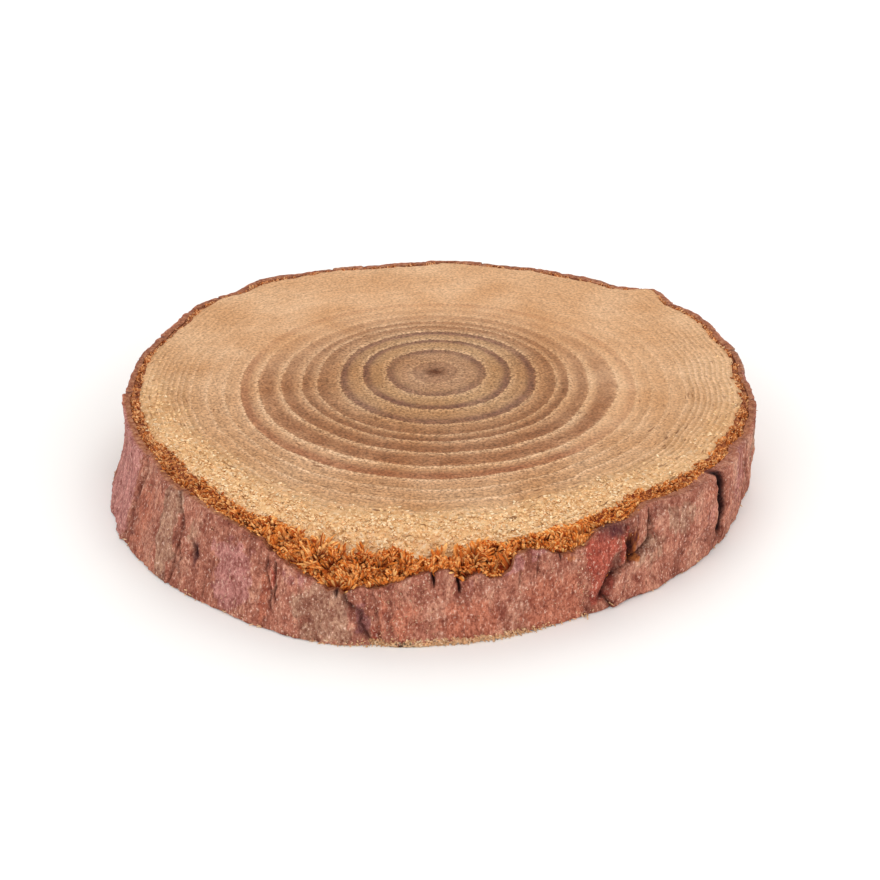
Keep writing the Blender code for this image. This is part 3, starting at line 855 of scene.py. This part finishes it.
def loose_fibre(name, pale, middle, root, deep=None, dull=None):
    """Inner bark or torn wood as loose fibres or crumbs: matt, each with its own tone, and with painted shade
    where they root. Three dull colours replace the bright ones where the inner bark isn't freshly broken."""
    material, tree, shader, in_mm = new_material(name, 0.9, 0.2)
    own = add(tree, "ShaderNodeNewGeometry", output="Random Per Island")
    tip = add(tree, "ShaderNodeAttribute", output="Fac", attribute_name="tip")
    colour = add(tree, "ShaderNodeValToRGB", {"Fac": own}, stops=(
        (0.0, deep or middle), (1.0, pale), (0.40, middle)))
    shadow = add(tree, "ShaderNodeValToRGB", {"Fac": tip}, stops=((0.10, 1.0), (0.75, 0.0)))
    colour = add(tree, "ShaderNodeMix", {0: shadow, 6: colour, 7: root}, **BLEND)
    if dull:
        fresh = add(tree, "ShaderNodeAttribute", output="Fac", attribute_name="fresh")
        worn = add(tree, "ShaderNodeValToRGB", {"Fac": own}, stops=(
            (0.0, dull[0]), (1.0, dull[2]), (0.40, dull[1])))
        colour = add(tree, "ShaderNodeMix", {0: fresh, 6: worn, 7: colour}, **BLEND)
    mottle = add(tree, "ShaderNodeTexNoise", {"Vector": in_mm, "Scale": 1 / FIBRE_MOTTLE,
                                              "Detail": 2.0})
    shade = add(tree, "ShaderNodeValToRGB", {"Fac": mottle}, stops=((0.3, 0.66), (0.7, 1.16)))
    colour = add(tree, "ShaderNodeMix", {0: 1.0, 6: colour, 7: shade}, **MULTIPLY)
    tree.links.new(colour, shader.inputs["Base Color"])
    return material


def bast_belt():
    """Inner bark as a solid belt: a red-brown mat with orange fibre ends where it is freshly broken, and a
    dull brown one where it was sawn, both with painted shade in the gaps between the ends."""
    material, tree, shader, in_mm = new_material("bast_belt", 0.92, 0.2)
    paint = colours()
    fresh = add(tree, "ShaderNodeAttribute", output="Fac", attribute_name="fresh")
    upright = add(tree, "ShaderNodeMapping", {"Vector": in_mm, "Scale": (1.0, 1.0, 0.3)})
    ends = add(tree, "ShaderNodeTexNoise", {"Vector": upright, "Scale": 1 / FIBRE_END, "Detail": 3.0,
                                            "Roughness": 0.65})
    # Fibre ends, with painted shade in the gaps between them
    broken = add(tree, "ShaderNodeValToRGB", {"Fac": ends}, stops=(
        (0.38, paint.fibre_gap_shade), (0.74, "#D9904A"), (0.50, "#8A3D10"), (0.62, paint.fibre)))
    sawn = add(tree, "ShaderNodeValToRGB", {"Fac": ends}, stops=(
        (0.36, "#5C2E1A"), (0.72, "#D09C74"), (0.47, "#8C5034"), (0.58, "#A96B48")))
    colour = add(tree, "ShaderNodeMix", {0: fresh, 6: sawn, 7: broken}, **BLEND)
    tree.links.new(colour, shader.inputs["Base Color"])
    bump = add(tree, "ShaderNodeBump", {"Height": ends, "Strength": 1.0, "Distance": 0.2 * MM})
    tree.links.new(bump, shader.inputs["Normal"])
    return material


# Pieces

WOOD_GRID = 212                                                 # cells along a side of the sawn faces' grid
BARK_ROWS = 66                                                  # round the bark's section
BARK_STEPS = 1300                                               # round the slice
BARK_CORNERS = (0.0, 0.74, 0.82, 0.92, 1.0)                     # where its section turns, from the outer foot
BELT_ROWS = 40
BELT_STEPS = 900
BELT_CORNERS = (0.0, 0.40, 0.50, 0.90, 1.0)
NEAR_WALL = 17.5 * MM                                           # radius where noise for the outline is read
FIBRE = ((0.0, 0.85), (0.35, 1.0), (0.75, 0.9), (1.0, 0.5))     # share of length, share of radius
CRUMB = ((0.0, 0.6), (0.45, 1.0), (1.0, 0.45))


def make_wood():
    """Sawn wood: a square grid rounded to the wood's outline, thickened, then given its relief."""
    bm = bmesh.new()
    bmesh.ops.create_grid(bm, x_segments=WOOD_GRID, y_segments=WOOD_GRID, size=1.0)
    bmesh.ops.solidify(bm, geom=bm.faces[:], thickness=1.0)
    weights = Vector((1.0, 1e3, 1e6))
    bm.faces.sort(key=lambda face: face.calc_center_median().dot(weights))    # the same order on each run
    mesh = new_mesh("sawn_wood", bm)
    square = get_points(mesh)
    x = square[:, 0] * np.sqrt(1 - square[:, 1] ** 2 / 2)
    y = square[:, 1] * np.sqrt(1 - square[:, 0] ** 2 / 2)
    upper = square[:, 2] > square[:, 2].mean()
    direction = np.degrees(np.arctan2(y, x))
    share = np.hypot(x, y)
    level = np.where(upper, HIGH.z, LOW.z)
    points = placed(direction, share * wood_edge(direction, level), level)
    ragged = (0.14 * lumps(points, 0.5, 7) + 0.12 * lumps(points, 1.5, 13)) * MM * ease(share, 0.965, 1.0)
    ragged = np.maximum(ragged, -0.10 * MM)
    points = placed(direction, share * wood_edge(direction, level) + ragged, level)
    lower_face = LOW.z + 0.03 * MM * (1 + lumps(points, 0.5, 8)) + 0.05 * MM * ease(share, 0.985, 1.0)
    points[:, 2] = np.where(upper, upper_face(points), lower_face)
    set_points(mesh, points)
    set_value(mesh, "ring_age", ring_age(points))
    set_value(mesh, "ring_mm", ring_radius(points) / MM)
    set_value(mesh, "torn", torn_share(points))
    set_value(mesh, "bleached", bleached_share(points))
    set_value(mesh, "hidden", hidden_share(points))
    finish_piece("sawn_wood", mesh, sawn_end_grain())


def hidden_plate_edges():
    """Plate edges and cracks for the stretch of bark that faces away, spread evenly with seeded variation."""
    chance = np.random.default_rng(11)
    edges = []
    cracks = []
    for direction in np.arange(-12.0, 182.0, 10.5):
        base = direction + chance.uniform(-3, 3)
        steps = np.cumsum(chance.uniform(-1.1, 1.1, 5))
        points = tuple((base + step, height) for step, height in zip(steps, (0.0, 1.3, 2.6, 3.8, 5.0)))
        side = 1 if chance.random() < 0.5 else -1
        rise, fade, gap = (chance.uniform(*span) for span in ((0.05, 0.16), (2.0, 4.5), (0.04, 0.16)))
        edges.append((points, side, rise, fade, gap))
        low = chance.uniform(0.0, 2.5)
        start = base + chance.uniform(3, 7)
        cracks.append((start, low, start + chance.uniform(-1, 1), low + chance.uniform(1.0, 2.5), 0.2, 0.06))
    return tuple(edges), tuple(cracks)


def bark_relief(direction, z, points):
    """How far the bark's outside stands out at each point, and how deep in a crack or a plate's gap it lies,
    from 0 to 1, for the painted shade there.
    """
    more_edges, more_cracks = hidden_plate_edges()
    height = (z - LOW.z) / MM
    arc = math.radians(1.0) * wall_radius(direction, z) / MM
    jitter = 0.10 * lumps(points, 0.35, 21) + 0.22 * lumps(points, 1.3, 22)
    relief = np.zeros(len(z))
    crack_shade = np.zeros(len(z))
    levels = np.linspace(0.0, 5.0, 51)
    for line, side, rise, fade, gap in PLATE_EDGES + more_edges:
        ways, along = zip(*line)
        edge = np.interp(height, along, ways)
        slope = np.gradient(np.interp(levels, along, ways) * 0.3, 0.1)    # a degree is 0.3 mm of wall
        lean = np.interp(height, levels, 1 / np.sqrt(1 + slope ** 2))
        past = side * turned(direction, edge) * arc * lean + jitter * lean
        ends = ease(height, along[0] - 0.35, along[0]) * (1 - ease(height, along[-1], along[-1] + 0.35))
        raised = rise * ease(past, -0.06, 0.06) * np.exp(-np.maximum(past, 0) / fade)
        hollow = np.exp(-((past + 0.07) / 0.085) ** 2) * ends
        relief += raised * ends - gap * hollow
        # A plate's gap gets the same painted shade as a crack
        crack_shade = np.maximum(crack_shade, hollow * min(1.0, 5.0 * gap))
    for low_way, low, high_way, high, depth, half_width in BARK_CRACKS + more_cracks:
        share = np.clip((height - low) / (high - low), 0, 1)
        way = low_way + (high_way - low_way) * share
        across = turned(direction, way) * arc + 0.75 * jitter
        ends = ease(height, low - 0.15, low + 0.35) * (1 - ease(height, high - 0.1, high + 0.15))
        groove = np.exp(-(across / (half_width * (0.5 + 0.5 * ends))) ** 2) * ends
        relief -= depth * groove
        crack_shade = np.maximum(crack_shade, ease(groove, 0.08, 0.6) * min(1.0, 3.4 * depth))
    for way, level, half_turn, half_height, rise in BARK_KNOBS:
        across = turned(direction, way) / half_turn + 2.0 * jitter
        relief += rise * np.exp(-across ** 2 - ((height - level) / half_height + 1.5 * jitter) ** 2)
    relief += 0.05 * lumps(points, (1.3, 1.3, 3.5), 23)
    relief *= MM
    grain = 0.9 * lumps(points, (0.42, 0.42, 2.6), 24) + 0.5 * lumps(points, (0.2, 0.2, 0.9), 25)
    grain += 0.5 * lumps(points, 0.24, 26)
    return relief + sizes().bark_relief * grain, crack_shade


def bark_tones(direction, z, points):
    """Strength of each tone on the bark: the patches where they are known, and seeded ones round the back."""
    chance = np.random.default_rng(5)
    patches = list(BARK_PATCHES)
    for way in np.arange(-6.0, 184.0, 7.0):
        tone = ("mauve", "salmon", "grey")[chance.integers(3)]
        level, half_turn = chance.uniform(0.8, 4.2), chance.uniform(3.0, 7.0)
        patches.append((tone, way + chance.uniform(-3, 3), level, half_turn, chance.uniform(1.0, 2.4), 0.8))
    height = (z - LOW.z) / MM + 0.30 * lumps(points, 1.0, 27)
    sideways = 1.5 * lumps(points, (0.9, 0.9, 1.6), 28) + 0.9 * lumps(points, 0.4, 29)
    tones = {tone: np.zeros(len(z)) for tone in TONES}
    for tone, way, level, half_turn, half_height, strength in patches:
        across = turned(direction + sideways, way) / half_turn
        spot = strength * np.exp(-(across ** 4) - ((height - level) / half_height) ** 4)
        tones[tone] = np.maximum(tones[tone], spot)
    return tones


def make_bark():
    """Bark: a ring whose section runs up the outside, over the chipped rim, down the inside and back."""
    mesh = torus_mesh("bark", BARK_ROWS, BARK_STEPS)
    direction, section = torus_place(mesh)
    inward = np.interp(section, BARK_CORNERS, (0, 0, 1, 1, 0))
    upward = np.interp(section, BARK_CORNERS, (0, 1, 1, 0, 0))
    outside = placed(direction, np.full(len(direction), NEAR_WALL), np.zeros(len(direction)))
    ragged = 0.05 * lumps(outside, 0.28, 31) + 0.05 * lumps(outside, 0.9, 32)
    deep = ease(around(BARK_CHIP, direction), 0.3 * MM, 0.9 * MM)
    top = np.minimum(bark_top(direction) + ragged * MM * (0.6 + 2.0 * deep), HIGH.z - 0.03 * MM)
    foot = LOW.z + 0.015 * MM + 0.035 * MM * (1 + lumps(outside, 0.4, 33))
    z = foot + (top - foot) * upward
    wall = wall_radius(direction, z)
    points = placed(direction, wall, z)
    relief, crack_shade = bark_relief(direction, z, points)
    facing_out = (1 - inward) * ease(np.minimum(z - foot, top - z) / MM, -0.3, 0.12)
    width = bark_width(direction)
    width *= (1 + 0.25 * lumps(outside, 1.1, 34)) * (1.6 - 0.6 * upward)
    radius = wall + relief * (1 - 0.8 * inward) - width * inward
    radius -= 0.06 * MM * (1 - facing_out) * (1 - inward)
    set_points(mesh, placed(direction, radius, z))
    for tone, strength in bark_tones(direction, z, points).items():
        set_value(mesh, tone, strength)
    # Painted shade in cracks and gaps, on the outside only
    set_value(mesh, "crack_shade", crack_shade * (1 - inward))
    # Relief height, stored for the material's painted shade and highlight
    set_value(mesh, "relief", 0.5 + relief / (0.5 * MM))
    set_value(mesh, "rim", ease(inward, 0.05, 0.4) * (1 - 0.7 * bark_swelling(direction)))
    finish_piece("bark", mesh, flaking_bark())


def belt_place(direction, across):
    """Radius and height of the inner bark's upper face: across runs from 0 at the wood to 1 at the bark."""
    high = np.full(len(direction), HIGH.z)
    inner = wood_edge(direction, high)
    outer = wall_radius(direction, bark_top(direction)) - 0.9 * bark_width(direction)
    start = high - 0.12 * MM - around(WOOD_DROP, direction)
    end = bark_top(direction) - 0.04 * MM
    return inner + (outer - inner) * across, start + (end - start) * np.maximum(across, 0) ** 1.3


def make_belt():
    """Inner bark as a solid belt that fills the space between wood and bark from face to face."""
    mesh = torus_mesh("inner_bark", BELT_ROWS, BELT_STEPS)
    direction, section = torus_place(mesh)
    across = np.interp(section, BELT_CORNERS, (1.25, -0.35, -0.35, 1.25, 1.25))
    upward = np.interp(section, BELT_CORNERS, (1, 1, 0, 0, 1))
    radius, top = belt_place(direction, np.clip(across, 0, 1))
    under_bark, under_wood = across > 1, across < 0
    radius += (0.12 * under_bark - 0.60 * under_wood) * MM
    top -= (0.12 * under_bark + 0.30 * under_wood) * MM
    foot = LOW.z + 0.08 * MM
    z = foot + (top - foot) * upward
    radius += wall_radius(direction, z) - wall_radius(direction, top)
    points = placed(direction, radius, z)
    relief, _ = bark_relief(direction, z, points)
    radius += np.where(across > 0.9, np.minimum(relief, 0.0), 0.0)
    rough = lumps(points, (0.22, 0.22, 0.5), 41) + 0.6 * lumps(points, 0.5, 42)
    z += upward * (0.10 * rough - 0.06) * MM
    z = np.clip(z, foot, HIGH.z - 0.05 * MM)
    set_points(mesh, placed(direction, radius, z))
    set_value(mesh, "fresh", around(BAST_FRESHNESS, direction, 1))
    finish_piece("inner_bark", mesh, bast_belt())


def outward(direction):
    """Unit vectors that point away from the axis, and others that run round it."""
    out = placed(direction, np.ones(len(direction)), np.zeros(len(direction)))
    out[:, :2] -= np.array((CENTRE.x, CENTRE.y))
    return out, np.column_stack((-out[:, 1], out[:, 0], np.zeros(len(out))))


def bast_strands(name, seed, count, in_chips):
    """Loose fibres of the inner bark: either the long frayed ones in the chips, or the short sawn ends round
    the rest of the rim."""
    chance = np.random.default_rng(seed)
    tries = count * 8     # places to choose from
    direction = chance.uniform(-180, 180, tries)
    bare = ease(around(BARK_CHIP, direction), 0.30 * MM, 1.2 * MM)
    fresh = around(BAST_FRESHNESS, direction, 1)
    wanted = around(RIM_WIDTH, direction) / (1.45 * MM) * (bare if in_chips else (1 - bare) ** 2)
    kept = chance.random(tries) < np.clip(wanted, 0, 1)
    direction, bare, fresh = direction[kept][:count], bare[kept][:count], fresh[kept][:count]
    count = len(direction)
    across = chance.uniform(0.03, 1.0, count) - 0.30 * chance.random(count) ** 2 * (1 - bare)
    radius, z = belt_place(direction, across)
    sunk = 0.15 - 0.12 * lumps(placed(direction, radius, z), 0.50, seed + 50)
    roots = placed(direction, radius, z - sunk * MM)
    out, side = outward(direction)
    sway = np.column_stack([lumps(roots, 0.55, seed + number) for number in (48, 49)]) * 1.4
    sway += chance.normal(0.0, 0.10, (count, 2))
    ways = out * (0.42 + sway[:, :1]) + side * sway[:, 1:]
    ways[:, 2] = 0.9 + 0.5 * bare
    curls = 0.5 * np.column_stack([lumps(roots, 0.4, seed + number) for number in (51, 52, 53)])
    curls = curls + chance.normal(0.0, 0.10, (count, 3))
    curls[:, 2] -= 0.20 * bare
    tuft = 0.25 + 0.95 * ease(lumps(roots, 0.50, seed + 50), -0.25, 0.25)
    lengths = chance.uniform(0.16, 0.28, count) * (0.45 + 0.75 * tuft) * (0.6 + 0.5 * fresh)
    lengths += bare * tuft * chance.uniform(0.18, 0.62, count)
    ways = unit(ways)
    lengths = np.minimum(lengths * MM, 1.15 * (HIGH.z - roots[:, 2]) / ways[:, 2])
    radii = sizes().fibre_radius * chance.uniform(0.5, 1.2, count) * (1.0 if in_chips else 0.85)
    mesh = strand_mesh(name, FIBRE if in_chips else CRUMB, roots, ways, curls, lengths, radii)
    set_value(mesh, "fresh", around(BAST_FRESHNESS, polar(get_points(mesh))[0], 1))
    return mesh


def make_fibres():
    """Loose fibres of the inner bark: a frayed brush in the chips, and short ends where the rim is whole."""
    paint = colours()
    material = loose_fibre("frayed_inner_bark", "#FFC880", paint.fibre, paint.fibre_gap_shade,
                           "#B4501A", ("#5E2410", "#BC6A36", "#F0B884"))
    frayed = bast_strands("inner_bark_fibres", 3, sizes().fibre_count, True)
    finish_piece("inner_bark_fibres", frayed, material)
    sawn = bast_strands("inner_bark_stubs", 4, sizes().stub_count, False)
    finish_piece("inner_bark_stubs", sawn, material)


def make_fuzz():
    """Torn fibres of the wood, which stand up in the torn zone like coarse crumbs."""
    chance = np.random.default_rng(9)
    count = sizes().fuzz_count
    tries = count * 14    # places to choose from
    direction = chance.uniform(-180, 180, tries)
    high = np.full(tries, HIGH.z)
    points = placed(direction, np.sqrt(chance.random(tries)) * wood_edge(direction, high), high)
    lined = 0.5 + 0.5 * np.cos(2 * math.pi * (ring_age(points) - 0.1))
    kept = chance.random(tries) < torn_share(points) ** 1.7 * (0.20 + 0.80 * lined)
    points = points[kept][:count]
    count = len(points)
    points[:, 2] = upper_face(points) - 0.05 * MM
    turn = chance.uniform(0, 2 * math.pi, count)
    ways = np.column_stack((np.cos(turn), np.sin(turn), chance.uniform(0.5, 1.8, count)))
    curls = np.column_stack((chance.normal(0, 0.3, (count, 2)), -chance.uniform(0.0, 0.4, count)))
    lengths = chance.uniform(0.10, 0.26, count) * MM
    radii = sizes().fuzz_radius * (0.35 + 0.95 * chance.random(count) ** 1.6)
    mesh = strand_mesh("saw_fuzz", CRUMB, points, unit(ways), curls, lengths, radii)
    material = loose_fibre("torn_wood_fibre", (1.03, 0.80, 0.52), colours().fuzz, "#CC9C66")
    finish_piece("saw_fuzz", mesh, material)


def make_crumbs():
    """Crumbs of sawdust that cling to the bark."""
    chance = np.random.default_rng(21)
    count = sizes().crumb_count
    direction = np.concatenate((chance.normal(-95, 3.0, count // 4), chance.normal(-63.5, 0.9, count // 16)))
    direction = np.append(direction, chance.uniform(-180, 180, count - len(direction)))
    z = LOW.z + (bark_top(direction) - LOW.z) * chance.uniform(0.03, 0.97, count)
    points = placed(direction, wall_radius(direction, z), z)
    relief, _ = bark_relief(direction, z, points)
    points = placed(direction, wall_radius(direction, z) + relief - 0.01 * MM, z)
    ways = unit(outward(direction)[0] + chance.normal(0, 0.8, (count, 3)))
    lengths = chance.uniform(0.04, 0.14, count) * MM
    mesh = strand_mesh("sawdust_crumbs", CRUMB, points, ways, chance.normal(0, 0.3, (count, 3)), lengths,
                       chance.uniform(0.014, 0.040, count) * MM)
    material = loose_fibre("sawdust", "#EFCDAE", "#D3A07C", "#B47E62")
    finish_piece("sawdust_crumbs", mesh, material)


def make_burr():
    """Burr of torn fibres that the saw pushed out along the lower edge, mostly at the front."""
    chance = np.random.default_rng(33)
    count = sizes().burr_count
    direction = np.concatenate((chance.normal(-90, 9, count * 3 // 4), chance.uniform(-180, 180, count // 4)))
    count = len(direction)
    z = LOW.z + (0.05 + 0.30 * chance.random(count) ** 2.2) * MM
    roots = placed(direction, wall_radius(direction, z) - 0.08 * MM, z)
    out, side = outward(direction)
    ways = out + side * chance.normal(0.0, 0.8, (count, 1))
    ways[:, 2] = chance.normal(-0.15, 0.3, count)
    lengths = chance.uniform(0.12, 0.26, count) * MM
    mesh = strand_mesh("lower_burr", FIBRE, roots, unit(ways), chance.normal(0, 0.35, (count, 3)), lengths,
                       chance.uniform(0.032, 0.058, count) * MM)
    material = loose_fibre("lower_burr_fibre", "#F8DAB6", "#E0B082", "#B07A54")
    finish_piece("lower_burr", mesh, material)


# Stage

FLOOR_SIZE = 2.0
CAMERA_AIM = CENTRE + Vector((0.34 * MM, -1.33 * MM, THICKNESS / 2 + 0.29 * MM))
CAMERA_AZIMUTH = -0.15
CAMERA_ELEVATION = 28.86
CAMERA_DISTANCE = 140 * MM
CAMERA_LENS = 104.2
WORLD_LIGHT = 0.72
# Soft boxes: name, azimuth and elevation from the slice, distance and side in metres, watts, colour
SOFT_BOXES = (
    ("back_box", 165, 50, 0.22, 0.16, 0.16, (1.0, 0.98, 0.95)),
    ("left_box", -38, 35, 0.30, 0.22, 0.22, (1.0, 0.99, 0.98)),
    ("right_box", 42, 32, 0.30, 0.22, 0.24, (1.0, 0.99, 0.98)),
)


def aim(item, target, azimuth, elevation, distance):
    """Put a lamp or the camera at a distance from its target, and turn it to face that."""
    turn, rise = math.radians(azimuth), math.radians(elevation)
    back = Vector((math.sin(turn) * math.cos(rise), -math.cos(turn) * math.cos(rise), math.sin(rise)))
    item.location = target + back * distance
    item.rotation_mode = "QUATERNION"
    item.rotation_quaternion = (-back).to_track_quat("-Z", "Y")
    bpy.context.scene.collection.objects.link(item)


def make_stage():
    """Pale paper floor, a white surround, three soft boxes and the camera."""
    bm = bmesh.new()
    bmesh.ops.create_grid(bm, x_segments=1, y_segments=1, size=FLOOR_SIZE)
    mesh = new_mesh("paper_floor", bm)
    floor = bpy.data.objects.new("paper_floor", mesh)
    floor.location = (CENTRE.x, CENTRE.y, LOW.z - 0.01 * MM)
    bpy.context.scene.collection.objects.link(floor)
    material = bpy.data.materials.new("seamless_paper")
    material.use_nodes = True
    shader = material.node_tree.nodes["Principled BSDF"]
    shader.inputs["Base Color"].default_value = (*colours().paper, 1.0)
    shader.inputs["Roughness"].default_value = 0.95
    mesh.materials.append(material)

    world = bpy.data.worlds.new("studio")
    world.use_nodes = True
    surround = world.node_tree.nodes["Background"]
    surround.inputs["Color"].default_value = (1.0, 1.0, 1.0, 1.0)
    surround.inputs["Strength"].default_value = WORLD_LIGHT
    bpy.context.scene.world = world
    for name, azimuth, elevation, distance, side, power, colour in SOFT_BOXES:
        light = bpy.data.lights.new(name, "AREA")
        light.shape = "SQUARE"
        light.size = side
        light.energy = power
        light.color = colour
        aim(bpy.data.objects.new(name, light), CENTRE, azimuth, elevation, distance)

    camera = bpy.data.objects.new("camera", bpy.data.cameras.new("camera"))
    camera.data.lens = CAMERA_LENS
    camera.data.clip_start = 0.01
    camera.data.clip_end = 10.0
    aim(camera, CAMERA_AIM, CAMERA_AZIMUTH, CAMERA_ELEVATION, CAMERA_DISTANCE)
    bpy.context.scene.camera = camera
    bpy.context.scene.view_settings.view_transform = "Standard"


class WOODSLICE_OT_wood(bpy.types.Operator):
    """Build the sawn wood with its growth rings"""

    bl_idname = "wood_slice.wood"
    bl_label = "Sawn wood"

    def execute(self, context):
        make_wood()
        return {"FINISHED"}


class WOODSLICE_OT_bark(bpy.types.Operator):
    """Build the bark with its plates, cracks and chipped rim"""

    bl_idname = "wood_slice.bark"
    bl_label = "Bark"

    def execute(self, context):
        make_bark()
        return {"FINISHED"}


class WOODSLICE_OT_inner_bark(bpy.types.Operator):
    """Build the belt of inner bark and its frayed fibres"""

    bl_idname = "wood_slice.inner_bark"
    bl_label = "Inner bark"

    def execute(self, context):
        make_belt()
        make_fibres()
        return {"FINISHED"}


class WOODSLICE_OT_saw_fuzz(bpy.types.Operator):
    """Build the torn wood fibres and the crumbs of sawdust"""

    bl_idname = "wood_slice.saw_fuzz"
    bl_label = "Fuzz and sawdust"

    def execute(self, context):
        make_fuzz()
        make_crumbs()
        make_burr()
        return {"FINISHED"}


class WOODSLICE_OT_stage(bpy.types.Operator):
    """Set up the floor, the lights and the camera"""

    bl_idname = "wood_slice.stage"
    bl_label = "Stage"

    def execute(self, context):
        make_stage()
        return {"FINISHED"}


class WOODSLICE_PT_panel(bpy.types.Panel):
    """Sidebar panel of the wood slice"""

    bl_idname = "WOODSLICE_PT_panel"
    bl_label = "Wood slice"
    bl_space_type = "VIEW_3D"
    bl_region_type = "UI"
    bl_category = "Wood slice"

    def draw(self, context):
        for operator in OPERATORS:
            self.layout.operator(operator.bl_idname)
        for group in (context.scene.wood_slice_sizes, context.scene.wood_slice_colours):
            box = self.layout.box()
            for name in group.__annotations__:
                box.prop(group, name)


OPERATORS = (
    WOODSLICE_OT_wood,
    WOODSLICE_OT_bark,
    WOODSLICE_OT_inner_bark,
    WOODSLICE_OT_saw_fuzz,
    WOODSLICE_OT_stage,
)
CLASSES = (WoodSliceSizes, WoodSliceColours, *OPERATORS, WOODSLICE_PT_panel)


def register():
    """Register the classes and the scene's settings."""
    for item in CLASSES:
        bpy.utils.register_class(item)
    bpy.types.Scene.wood_slice_sizes = PointerProperty(type=WoodSliceSizes)
    bpy.types.Scene.wood_slice_colours = PointerProperty(type=WoodSliceColours)


def unregister():
    """Take the settings and the classes away again."""
    del bpy.types.Scene.wood_slice_colours
    del bpy.types.Scene.wood_slice_sizes
    for item in reversed(CLASSES):
        bpy.utils.unregister_class(item)


def main():
    """Build everything in order."""
    register()
    bpy.ops.wood_slice.wood()
    bpy.ops.wood_slice.bark()
    bpy.ops.wood_slice.inner_bark()
    bpy.ops.wood_slice.saw_fuzz()
    bpy.ops.wood_slice.stage()


if __name__ == "__main__":
    main()
